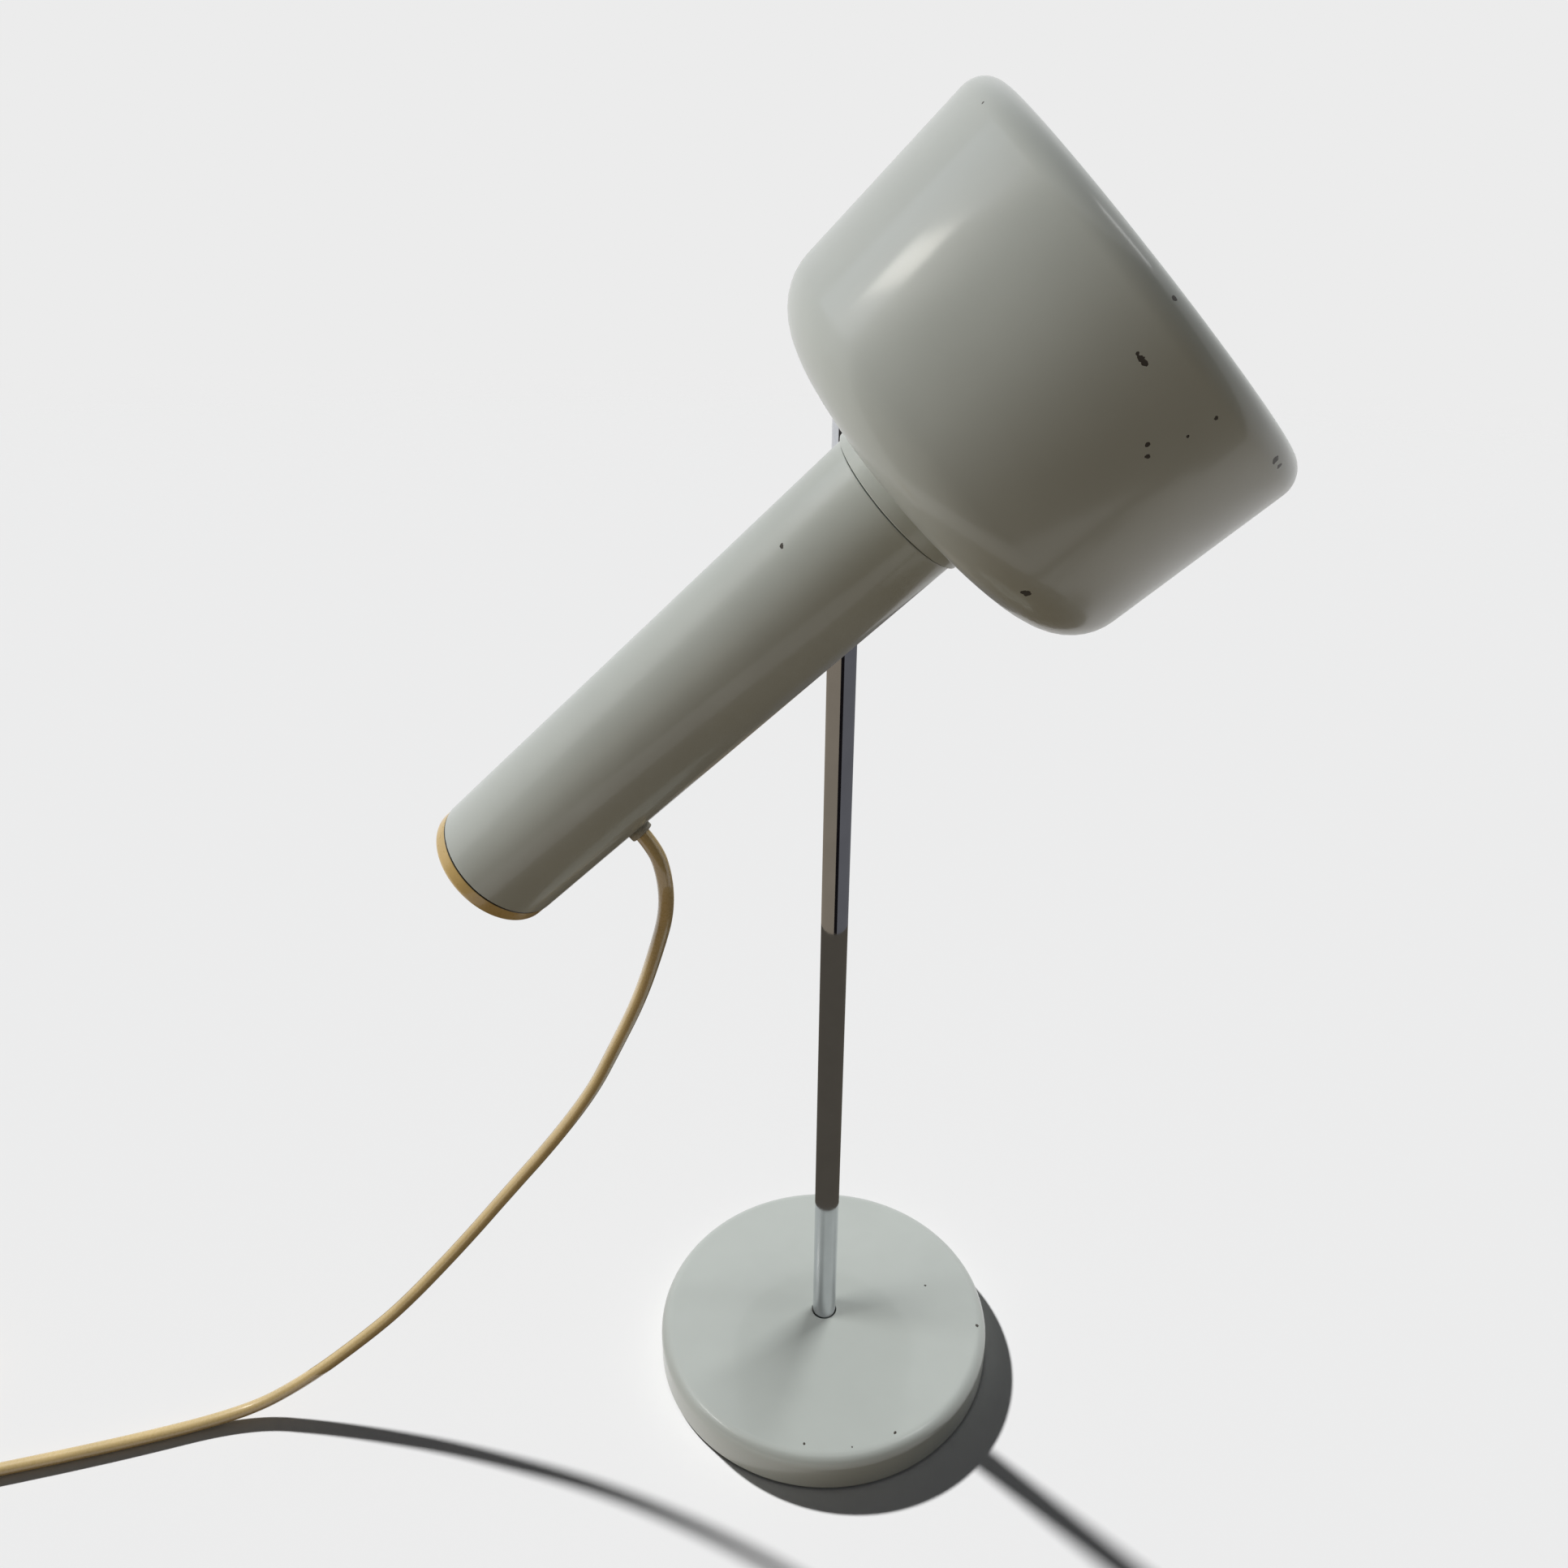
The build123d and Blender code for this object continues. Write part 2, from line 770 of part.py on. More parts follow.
with BuildPart() as switch_wire:
    cable(
        [
            head_point(switch_front, 4, 2),
            head_point(switch_front + 8, 4, 2),
            head_point(switch_front + 22, 5, -6),
            head_point(switch_front + wire_bow_place, 4, -wire_bow),
            head_point(wire_front_bend, 3, -wire_bow),
            head_point(-4, 2, -8),
            head_point(4, 1, -4),
            head_point(nipple_rear - 2, 0.3, -wire_offset),
            head_point(nipple_rear + 4, 0, -wire_offset),
        ],
        wire_radius,
    )

with BuildPart() as neutral_wire:
    cable(
        [
            head_point(gland_place, -cord_end, wire_offset),
            head_point(gland_place, -cord_end + wire_stub, wire_offset),
            head_point(gland_place + 6, -cord_end + 10, -1.5),
            head_point(gland_place + 24, -5, -9),
            head_point(wire_front_bend, -4, -wire_bow - 2),
            head_point(-4, -4, -8),
            head_point(5, -2.5, -2),
            head_point(nipple_rear - 2, -0.5, wire_offset - 0.6),
            head_point(nipple_rear + 4, 0, wire_offset),
        ],
        wire_radius,
    )

# ---------------------------------------------------------------- mains lead

# The lead leaves the gland square to the tube, bends down under its own weight and leans forward until it
# lies on the table. From there it runs to the coil of its unused length, with the plug beside the coil.
last_drop_corner = Vector(-49.2, -55.6, 231.3)
first_lead_corner = Vector(-59.7, -46.9, 203.0)
junction = last_drop_corner + (first_lead_corner - last_drop_corner) * 0.45

# The coil: turns of cord in two layers, drawn as their outer shape.
coil_centre = Vector(-374.0, -122.0)
coil_inner_turn = 20.25
coil_outer_turn = 37.75
coil_layers = 2
coil_entry_angle = radians(-62.6)
coil_exit_angle = radians(-143.0)


def around_coil(angle):
    """A point on the coil's outermost turn, and the way the cord runs there, as seen from above."""
    outward = Vector(cos(angle), sin(angle))
    return coil_centre + outward * coil_outer_turn, Vector(outward.Y, -outward.X)


coil_entry, coil_entry_heading = around_coil(coil_entry_angle)
coil_exit, coil_exit_heading = around_coil(coil_exit_angle)
lower_layer = Vector(0, 0, cord_radius)
upper_layer = Vector(0, 0, 3 * cord_radius)
plug_level = Vector(0, 0, plug_thickness / 2)

drop_route = [
    gland_plane.origin + head_underside * cord_end,
    gland_plane.origin + head_underside * (gland_mouth + 5),
    (-42.6, -64.4, 261.8),
    (-43.6, -61.6, 248.3),
    last_drop_corner,
    junction,
]
lead_route = [
    junction,
    first_lead_corner,
    (-73.6, -38.9, 173.3),
    (-85.4, -34.7, 148.6),
    (-103.8, -34.1, 120.0),
    (-123.2, -37.4, 94.2),
    (-142.3, -44.7, 69.3),
    (-164.7, -57.1, 43.8),
    (-180.0, -64.9, 30.2),
    (-202.5, -76.8, 13.4),
    (-224.5, -87.4, cord_radius),
    (-266.3, -110.8, cord_radius),
    coil_entry + lower_layer - coil_entry_heading * 36,
    coil_entry + lower_layer,
]
tail_route = [
    coil_exit + upper_layer,
    coil_exit + plug_level + coil_exit_heading * 16,
    coil_exit + plug_level + coil_exit_heading * 32 + Vector(-1.6, -1.2),
]

with BuildPart() as cord_drop:
    drop_length = cable(drop_route, cord_radius)

with BuildPart() as cord_lead:
    lead_length = cable(lead_route, cord_radius)

with BuildPart() as cord_coil:
    with BuildSketch(Plane.XY):
        with Locations(coil_centre):
            Circle(coil_outer_turn + cord_radius)
            Circle(coil_inner_turn - cord_radius, mode=Mode.SUBTRACT)
    extrude(amount=2 * cord_radius * coil_layers)
    fillet(cord_coil.edges().filter_by(GeomType.CIRCLE), 0.8 * cord_radius)

with BuildPart() as cord_tail:
    tail_length = cable(tail_route, cord_radius)

# ---------------------------------------------------------------- plug

plug_heading = (tail_route[-1] - tail_route[-2]).normalized()
plug_rear = tail_route[-1] - plug_heading * plug_entry_depth
plug_plane = Plane(origin=plug_rear, x_dir=plug_heading, z_dir=(0, 0, 1))
plug_axis = Axis(plug_rear, plug_heading)

with BuildPart() as plug_body:
    with BuildSketch(plug_plane.offset(-plug_thickness / 2)) as plug_outline:
        with BuildLine():
            Polyline(
                (plug_sleeve_length, plug_tail_half_width),
                (plug_sleeve_length + plug_shoulder, plug_half_width),
                (plug_length, plug_half_width),
                (plug_length, -plug_half_width),
                (plug_sleeve_length + plug_shoulder, -plug_half_width),
                (plug_sleeve_length, -plug_tail_half_width),
                close=True,
            )
        make_face()
        fillet(plug_outline.vertices(), plug_corner_radius)
    extrude(amount=plug_thickness)
    fillet(plug_body.edges().group_by(Axis.Z)[-1], plug_edge_radius)
    fillet(plug_body.edges().group_by(Axis.Z)[0], plug_edge_radius)
    with BuildSketch(plug_plane):
        with BuildLine():
            Polyline(
                (0, 0),
                (0, plug_sleeve_radii[0]),
                (plug_sleeve_length, plug_sleeve_radii[1]),
                (plug_sleeve_length + plug_entry_depth, plug_sleeve_radii[1]),
                (plug_sleeve_length + plug_entry_depth, 0),
                close=True,
            )
        make_face()
    revolve(axis=plug_axis)
    with BuildSketch(Plane(origin=plug_rear, z_dir=plug_heading)):
        Circle(cord_radius + seat_gap)
    extrude(amount=plug_entry_depth, mode=Mode.SUBTRACT)
    pin_plane = Plane(
        origin=plug_rear + plug_heading * (plug_length - pin_root),
        x_dir=(0, 0, 1),
        z_dir=plug_heading,
    )
    with BuildSketch(pin_plane):
        with GridLocations(0, pin_spacing, 1, 2):
            Circle(pin_radius)
    extrude(amount=pin_root, mode=Mode.SUBTRACT)

with BuildPart() as plug_pins:
    with BuildSketch(pin_plane):
        with GridLocations(0, pin_spacing, 1, 2):
            Circle(pin_radius)
    extrude(amount=pin_root + pin_length)
    fillet(plug_pins.edges().group_by(plug_axis)[-1], pin_radius / 2)

# ---------------------------------------------------------------- output

pieces = {
    "base_shell": base_shell,
    "base_weight": base_weight,
    "base_felt": base_felt,
    "stem_bush": stem_bush,
    "stem": stem,
    "thrust_washer": thrust_washer,
    "foot_spring": foot_spring,
    "foot_washer": foot_washer,
    "foot_nut": foot_nut,
    "knuckle": knuckle,
    "slide_bushes": slide_bushes,
    "friction_pad": friction_pad,
    "tension_screw": tension_screw,
    "pivot_stud": pivot_stud,
    "fibre_washer": fibre_washer,
    "outer_saddle": outer_saddle,
    "inner_saddle": inner_saddle,
    "pivot_spring": pivot_spring,
    "pivot_nut": pivot_nut,
    "torch_tube": torch_tube,
    "spigot": spigot,
    "shade": shade,
    "lampholder_nut": lampholder_nut,
    "lampholder_cap": lampholder_cap,
    "lampholder_core": lampholder_core,
    "lampholder_skirt": lampholder_skirt,
    "screw_shell": screw_shell,
    "bulb_cap": bulb_cap,
    "bulb_glass": bulb_glass,
    "rear_cap": rear_cap,
    "switch_body": switch_body,
    "switch_nut": switch_nut,
    "switch_button": switch_button,
    "cord_gland": cord_gland,
    "gland_nut": gland_nut,
    "live_wire": live_wire,
    "switch_wire": switch_wire,
    "neutral_wire": neutral_wire,
    "cord_drop": cord_drop,
    "cord_lead": cord_lead,
    "cord_coil": cord_coil,
    "cord_tail": cord_tail,
    "plug_body": plug_body,
    "plug_pins": plug_pins,
}

os.makedirs("parts", exist_ok=True)
for name, piece in pieces.items():
    piece.part.label = name
    export_step(piece.part, f"parts/{name}.step")

for name, route in (("drop", drop_route), ("lead", lead_route), ("tail", tail_route)):
    print(name, "bend radii", [round(radius, 1) for radius in bend_radii(route)])
print("drop", round(drop_length), "lead", round(lead_length), "tail", round(tail_length))
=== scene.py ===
import logging
import math
from collections.abc import Sequence
from dataclasses import dataclass
from enum import Enum
from typing import Any

import bmesh
import bpy
from mathutils import Matrix, Vector


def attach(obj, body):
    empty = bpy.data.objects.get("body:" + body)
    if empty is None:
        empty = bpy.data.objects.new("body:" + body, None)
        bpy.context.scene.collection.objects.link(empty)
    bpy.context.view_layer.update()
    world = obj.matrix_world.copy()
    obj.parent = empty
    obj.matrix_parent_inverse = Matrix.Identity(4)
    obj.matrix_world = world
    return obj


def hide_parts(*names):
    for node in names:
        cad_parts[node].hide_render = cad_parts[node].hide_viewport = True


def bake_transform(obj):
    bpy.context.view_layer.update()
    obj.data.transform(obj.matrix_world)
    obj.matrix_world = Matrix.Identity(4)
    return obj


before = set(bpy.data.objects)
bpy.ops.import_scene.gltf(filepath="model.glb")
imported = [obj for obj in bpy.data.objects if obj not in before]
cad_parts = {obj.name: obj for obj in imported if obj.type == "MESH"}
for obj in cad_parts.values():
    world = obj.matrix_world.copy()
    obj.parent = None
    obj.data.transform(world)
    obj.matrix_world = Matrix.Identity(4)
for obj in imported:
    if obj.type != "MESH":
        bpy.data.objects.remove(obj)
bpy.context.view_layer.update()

log = logging.getLogger("spotlight")

MM = 0.001
FULL_TURN = math.tau

# ---------------------------------------------------------------- where things are, in millimetres

HEAD_ELEVATION = math.radians(44.2)
PIVOT = Vector((0.0, -65.0, 357.0))
HEAD_DIRECTION = Vector((math.cos(HEAD_ELEVATION), 0.0, math.sin(HEAD_ELEVATION)))
HEAD_TOP = Vector((-math.sin(HEAD_ELEVATION), 0.0, math.cos(HEAD_ELEVATION)))
SIDEWAYS = Vector((0.0, 1.0, 0.0))


def placed(origin: Vector, across: Vector, up: Vector, along: Vector) -> Matrix:
    """Return the matrix that puts a shape built on the Z axis into the lamp's frame.

    Args:
        origin: Where the shape's own origin goes, in millimetres.
        across: The way its X axis points.
        up: The way its Y axis points.
        along: The way its Z axis points.

    Returns:
        The matrix, in metres.
    """
    turned = Matrix((across, up, along)).transposed().to_4x4()
    turned.translation = origin * MM
    return turned


FOOT_PLACE = Matrix.Identity(4)
HEAD_PLACE = placed(PIVOT, SIDEWAYS, HEAD_TOP, HEAD_DIRECTION)


# ---------------------------------------------------------------- finishes

# A mix node's sockets share their names, so they go by number. Levels are plain numbers.
MIX_SHARE = 0
MIX_LEVEL_A = 2
MIX_LEVEL_B = 3
MIX_COLOUR_A = 6
MIX_COLOUR_B = 7
MIXED_LEVEL = 0
MIXED_COLOUR = 2

# Nearly all of a noise lies between these.
NOISE_LOW = 0.3
NOISE_HIGH = 0.7


def linear(hex_code: str) -> tuple[float, float, float, float]:
    """Turn an sRGB hex colour into linear light.

    Args:
        hex_code: Six hex digits.

    Returns:
        Red, green, blue and an alpha of 1.
    """
    channels = []
    for start in (0, 2, 4):
        value = int(hex_code[start : start + 2], 16) / 255
        channels.append(value / 12.92 if value <= 0.04045 else ((value + 0.055) / 1.055) ** 2.4)
    return (channels[0], channels[1], channels[2], 1.0)


def add_node(
    tree: bpy.types.NodeTree, kind: str, inputs: dict[Any, Any] | None = None, **settings: Any
) -> bpy.types.Node:
    """Add a node, set it up, and fill or link its inputs.

    Args:
        tree: The node tree that gets the node.
        kind: The node's type name.
        inputs: For each input, by name or number, a value or the output that it takes.
        **settings: The node's own properties.

    Returns:
        The new node.
    """
    node = tree.nodes.new(kind)
    for name, value in settings.items():
        setattr(node, name, value)
    for socket, value in (inputs or {}).items():
        if isinstance(value, bpy.types.NodeSocket):
            tree.links.new(value, node.inputs[socket])
        else:
            node.inputs[socket].default_value = value
    return node


def emptied(owner: bpy.types.Material | bpy.types.World) -> bpy.types.NodeTree:
    """Clear the nodes of a material or a world.

    Args:
        owner: The material or the world.

    Returns:
        Its node tree, with nothing in it.
    """
    owner.use_nodes = True
    owner.node_tree.nodes.clear()
    return owner.node_tree


def scale_for(size: float) -> float:
    """Return the texture scale at which a pattern's blobs are size millimetres across."""
    return 1 / (size * MM)


def along_head(tree: bpy.types.NodeTree, place: bpy.types.NodeSocket) -> bpy.types.NodeSocket:
    """Measure along the head's axis from the pivot.

    Args:
        tree: The material's nodes.
        place: The surface's place on the object.

    Returns:
        How far along the axis the place is, in metres.
    """
    from_pivot = add_node(tree, "ShaderNodeVectorMath", {0: place, 1: PIVOT * MM}, operation="SUBTRACT")
    along = add_node(
        tree,
        "ShaderNodeVectorMath",
        {0: from_pivot.outputs["Vector"], 1: HEAD_DIRECTION},
        operation="DOT_PRODUCT",
    )
    return along.outputs["Value"]


@dataclass(frozen=True)
class Finish:
    """A plain moulded, turned or plated surface, and the base of every other finish.

    Sizes are in millimetres. Mottle is the share by which the brightness wanders, gloss_band the shares of
    the roughness that the gloss wanders between, and grain_depth how far the fine relief stands up.
    """

    name: str
    colour: str
    roughness: float
    metallic: float = 0.0
    ior: float = 1.5
    coat: float = 0.0
    coat_roughness: float = 0.08
    mottle: float = 0.04
    mottle_size: float = 14.0
    gloss_band: tuple[float, float] = (0.85, 1.15)
    grain_size: float = 0.9
    grain_depth: float = 0.01
    grain_stretch: tuple[float, float, float] = (1.0, 1.0, 1.0)

    def material(self) -> bpy.types.Material:
        """Make the finish's material, or find it where it is made already.

        Returns:
            The material.
        """
        found = bpy.data.materials.get(self.name)
        if found:
            return found
        material = bpy.data.materials.new(self.name)
        tree = emptied(material)
        shader = add_node(
            tree,
            "ShaderNodeBsdfPrincipled",
            {
                "Base Color": linear(self.colour),
                "Metallic": self.metallic,
                "Roughness": self.roughness,
                "Coat Weight": self.coat,
                "Coat Roughness": self.coat_roughness,
            },
        )
        if self.metallic == 0.0:
            shader.inputs["IOR"].default_value = self.ior
        add_node(tree, "ShaderNodeOutputMaterial", {"Surface": shader.outputs["BSDF"]})
        place = add_node(tree, "ShaderNodeTexCoord").outputs["Object"]
        self.pattern(tree, place, shader)
        return material

    def mottled(self, tree: bpy.types.NodeTree, place: bpy.types.NodeSocket) -> bpy.types.NodeSocket:
        """Let the brightness of the finish's colour wander over the surface.

        Args:
            tree: The material's nodes.
            place: The surface's place on the object.

        Returns:
            The wandering colour.
        """
        blobs = add_node(
            tree,
            "ShaderNodeTexNoise",
            {"Vector": place, "Scale": scale_for(self.mottle_size), "Detail": 3.0},
        )
        level = add_node(
            tree,
            "ShaderNodeMapRange",
            {
                "Value": blobs.outputs["Fac"],
                "From Min": NOISE_LOW,
                "From Max": NOISE_HIGH,
                "To Min": 1 - self.mottle,
                "To Max": 1 + self.mottle,
            },
        ).outputs["Result"]
        grey = add_node(tree, "ShaderNodeCombineColor", {0: level, 1: level, 2: level})
        wandering = add_node(
            tree,
            "ShaderNodeMix",
            {MIX_SHARE: 1.0, MIX_COLOUR_A: linear(self.colour), MIX_COLOUR_B: grey.outputs["Color"]},
            data_type="RGBA",
            blend_type="MULTIPLY",
        )
        return wandering.outputs[MIXED_COLOUR]

    def pattern(
        self, tree: bpy.types.NodeTree, place: bpy.types.NodeSocket, shader: bpy.types.Node
    ) -> None:
        """Give the surface its wandering colour, fine relief and uneven gloss.

        Args:
            tree: The material's nodes.
            place: The surface's place on the object.
            shader: The surface shader that takes the result.
        """
        tree.links.new(self.mottled(tree, place), shader.inputs["Base Color"])
        stretched = add_node(tree, "ShaderNodeMapping", {"Vector": place, "Scale": self.grain_stretch})
        grain = add_node(
            tree,
            "ShaderNodeTexNoise",
            {"Vector": stretched.outputs["Vector"], "Scale": scale_for(self.grain_size), "Detail": 3.0},
        ).outputs["Fac"]
        relief = add_node(
            tree, "ShaderNodeBump", {"Height": grain, "Distance": self.grain_depth * MM, "Strength": 1.0}
        )
        tree.links.new(relief.outputs["Normal"], shader.inputs["Normal"])
        glossiest, dullest = self.gloss_band
        uneven = add_node(
            tree,
            "ShaderNodeMapRange",
            {
                "Value": grain,
                "From Min": NOISE_LOW,
                "From Max": NOISE_HIGH,
                "To Min": self.roughness * glossiest,
                "To Max": min(1.0, self.roughness * dullest),
            },
        )
        tree.links.new(uneven.outputs["Result"], shader.inputs["Roughness"])


@dataclass(frozen=True)
class Chip:
    """A place where the enamel has come off, in millimetres in the lamp's frame."""

    place: tuple[float, float, float]
    radius: float


@dataclass(frozen=True)
class StoveEnamel(Finish):
    """Sprayed and baked enamel on steel: a soft orange peel under a gloss, chipped down to dark primer.

    Specks are the small scattered chips: one may lie in each cell of speck_size, speck_share of the cells
    have one, and speck_reach is the largest one's radius as a share of the cell. Ragged_band are the shares
    of its radius that a chip's torn edge wanders between.
    """

    gloss_band: tuple[float, float] = (0.85, 1.2)
    gloss_size: float = 25.0
    primer: str = "4B4742"
    primer_roughness: float = 0.75
    chips: tuple[Chip, ...] = ()
    chip_depth: float = 0.12
    ragged_size: float = 1.2
    ragged_band: tuple[float, float] = (0.55, 1.45)
    speck_size: float = 9.0
    speck_share: float = 0.09
    speck_reach: float = 0.035

    def pattern(
        self, tree: bpy.types.NodeTree, place: bpy.types.NodeSocket, shader: bpy.types.Node
    ) -> None:
        """Lay the enamel, its wandering gloss and orange peel, and the chips through it.

        Args:
            tree: The material's nodes.
            place: The surface's place on the object.
            shader: The surface shader that takes the result.
        """
        bare = self.worn_places(tree, place)
        enamel = self.mottled(tree, place)
        colour = add_node(
            tree,
            "ShaderNodeMix",
            {MIX_SHARE: bare, MIX_COLOUR_A: enamel, MIX_COLOUR_B: linear(self.primer)},
            data_type="RGBA",
        )
        tree.links.new(colour.outputs[MIXED_COLOUR], shader.inputs["Base Color"])
        wandering = add_node(
            tree, "ShaderNodeTexNoise", {"Vector": place, "Scale": scale_for(self.gloss_size), "Detail": 3.0}
        )
        glossiest, dullest = self.gloss_band
        gloss = add_node(
            tree,
            "ShaderNodeMapRange",
            {
                "Value": wandering.outputs["Fac"],
                "From Min": NOISE_LOW,
                "From Max": NOISE_HIGH,
                "To Min": self.roughness * glossiest,
                "To Max": self.roughness * dullest,
            },
        )
        rough = add_node(
            tree,
            "ShaderNodeMix",
            {MIX_SHARE: bare, MIX_LEVEL_A: gloss.outputs["Result"], MIX_LEVEL_B: self.primer_roughness},
            data_type="FLOAT",
        )
        tree.links.new(rough.outputs[MIXED_LEVEL], shader.inputs["Roughness"])
        peel = add_node(
            tree, "ShaderNodeTexNoise", {"Vector": place, "Scale": scale_for(self.grain_size), "Detail": 2.0}
        )
        relief = add_node(
            tree,
            "ShaderNodeBump",
            {"Height": peel.outputs["Fac"], "Distance": self.grain_depth * MM, "Strength": 1.0},
        )
        sound = add_node(tree, "ShaderNodeMath", {0: 1.0, 1: bare}, operation="SUBTRACT")
        sunk = add_node(
            tree,
            "ShaderNodeBump",
            {
                "Height": sound.outputs["Value"],
                "Distance": self.chip_depth * MM,
                "Strength": 1.0,
                "Normal": relief.outputs["Normal"],
            },
        )
        tree.links.new(sunk.outputs["Normal"], shader.inputs["Normal"])

    def worn_places(
        self, tree: bpy.types.NodeTree, place: bpy.types.NodeSocket
    ) -> bpy.types.NodeSocket:
        """Find where the enamel is gone: the named chips, and a few scattered specks.

        Args:
            tree: The material's nodes.
            place: The surface's place on the object.

        Returns:
            1 where it is gone, and 0 elsewhere.
        """
        cells = add_node(
            tree, "ShaderNodeTexVoronoi", {"Vector": place, "Scale": scale_for(self.speck_size)}
        )
        chosen = add_node(tree, "ShaderNodeSeparateColor", {0: cells.outputs["Color"]})
        speck_radius = add_node(
            tree,
            "ShaderNodeMapRange",
            {
                "Value": chosen.outputs[0],
                "From Min": 1 - self.speck_share,
                "From Max": 1.0,
                "To Min": 0.0,
                "To Max": self.speck_reach,
            },
        )
        bare = add_node(
            tree,
            "ShaderNodeMath",
            {0: cells.outputs["Distance"], 1: speck_radius.outputs["Result"]},
            operation="LESS_THAN",
        ).outputs["Value"]
        torn = add_node(
            tree,
            "ShaderNodeTexNoise",
            {"Vector": place, "Scale": scale_for(self.ragged_size), "Detail": 5.0},
        )
        least, most = self.ragged_band
        ragged = add_node(
            tree,
            "ShaderNodeMapRange",
            {
                "Value": torn.outputs["Fac"],
                "From Min": NOISE_LOW,
                "From Max": NOISE_HIGH,
                "To Min": least,
                "To Max": most,
            },
        ).outputs["Result"]
        for chip in self.chips:
            centre = [value * MM for value in chip.place]
            away = add_node(tree, "ShaderNodeVectorMath", {0: place, 1: centre}, operation="DISTANCE")
            reach = add_node(
                tree, "ShaderNodeMath", {0: ragged, 1: chip.radius * MM}, operation="MULTIPLY"
            )
            inside = add_node(
                tree,
                "ShaderNodeMath",
                {0: away.outputs["Value"], 1: reach.outputs["Value"]},
                operation="LESS_THAN",
            )
            bare = add_node(
                tree, "ShaderNodeMath", {0: bare, 1: inside.outputs["Value"]}, operation="MAXIMUM"
            ).outputs["Value"]
        return bare


@dataclass(frozen=True)
class Moulded(Finish):
    """Moulded plastic on the head's axis, with painted shade in the narrow gap beside it.

    Gap is how far along the axis the gap's middle is, and gap_width how wide it is, in millimetres. The
    painted shade is full within a core share of that width to each side of the middle, and fades out to the
    gap's edges.
    """

    gap: float = 0.0
    gap_width: float = 0.8
    # Painted shade: the dark colour laid into the gap, where shade falls between the cap and the tube.
    gap_shade: str = "1E1912"
    gap_shade_core: float = 0.3

    def pattern(
        self, tree: bpy.types.NodeTree, place: bpy.types.NodeSocket, shader: bpy.types.Node
    ) -> None:
        """Give the surface its plain pattern, and paint shade into the gap.

        Args:
            tree: The material's nodes.
            place: The surface's place on the object.
            shader: The surface shader that takes the result.
        """
        super().pattern(tree, place, shader)
        unshaded = shader.inputs["Base Color"].links[0].from_socket
        away = add_node(
            tree, "ShaderNodeMath", {0: along_head(tree, place), 1: self.gap * MM}, operation="SUBTRACT"
        )
        far = add_node(tree, "ShaderNodeMath", {0: away.outputs["Value"]}, operation="ABSOLUTE")
        shade_share = add_node(
            tree,
            "ShaderNodeMapRange",
            {
                "Value": far.outputs["Value"],
                "From Min": self.gap_shade_core * self.gap_width * MM,
                "From Max": 0.5 * self.gap_width * MM,
                "To Min": 1.0,
                "To Max": 0.0,
            },
        )
        gap_shaded = add_node(
            tree,
            "ShaderNodeMix",
            {MIX_SHARE: shade_share.outputs["Result"], MIX_COLOUR_A: unshaded, MIX_COLOUR_B: linear(self.gap_shade)},
            data_type="RGBA",
        )
        tree.links.new(gap_shaded.outputs[MIXED_COLOUR], shader.inputs["Base Color"])


@dataclass(frozen=True)
class Rolled(Finish):
    """Metal or plastic on the head's axis with a rolled thread: pitch and thread_depth in millimetres."""

    pitch: float = 2.8
    thread_depth: float = 0.5

    def pattern(
        self, tree: bpy.types.NodeTree, place: bpy.types.NodeSocket, shader: bpy.types.Node
    ) -> None:
        """Give the surface its plain pattern, and raise the thread's rings.

        Args:
            tree: The material's nodes.
            place: The surface's place on the object.
            shader: The surface shader that takes the result.
        """
        super().pattern(tree, place, shader)
        flat = shader.inputs["Normal"].links[0].from_socket
        turns = add_node(
            tree,
            "ShaderNodeMath",
            {0: along_head(tree, place), 1: FULL_TURN / (self.pitch * MM)},
            operation="MULTIPLY",
        )
        wave = add_node(tree, "ShaderNodeMath", {0: turns.outputs["Value"]}, operation="SINE")
        rings = add_node(
            tree,
            "ShaderNodeBump",
            {
                "Height": wave.outputs["Value"],
                "Distance": self.thread_depth / 2 * MM,
                "Strength": 1.0,
                "Normal": flat,
            },
        )
        tree.links.new(rings.outputs["Normal"], shader.inputs["Normal"])


@dataclass(frozen=True)
class OpalGlass(Finish):
    """Glass flashed white inside: light scatters in it to scatter_depth millimetres, under a clear skin."""

    scatter: float = 0.4
    scatter_depth: float = 3.0

    def pattern(
        self, tree: bpy.types.NodeTree, place: bpy.types.NodeSocket, shader: bpy.types.Node
    ) -> None:
        """Let a little light into the glass, over the plain pattern.

        Args:
            tree: The material's nodes.
            place: The surface's place on the object.
            shader: The surface shader that takes the result.
        """
        shader.inputs["Subsurface Weight"].default_value = self.scatter
        shader.inputs["Subsurface Scale"].default_value = self.scatter_depth * MM
        super().pattern(tree, place, shader)


@dataclass(frozen=True)
class Felt(Finish):
    """Needled felt: short fibres in every direction, with a soft sheen and no gloss."""

    sheen: float = 0.35
    sheen_roughness: float = 0.6

    def pattern(
        self, tree: bpy.types.NodeTree, place: bpy.types.NodeSocket, shader: bpy.types.Node
    ) -> None:
        """Raise the fibres and give them their sheen.

        Args:
            tree: The material's nodes.
            place: The surface's place on the object.
            shader: The surface shader that takes the result.
        """
        shader.inputs["Sheen Weight"].default_value = self.sheen
        shader.inputs["Sheen Roughness"].default_value = self.sheen_roughness
        super().pattern(tree, place, shader)


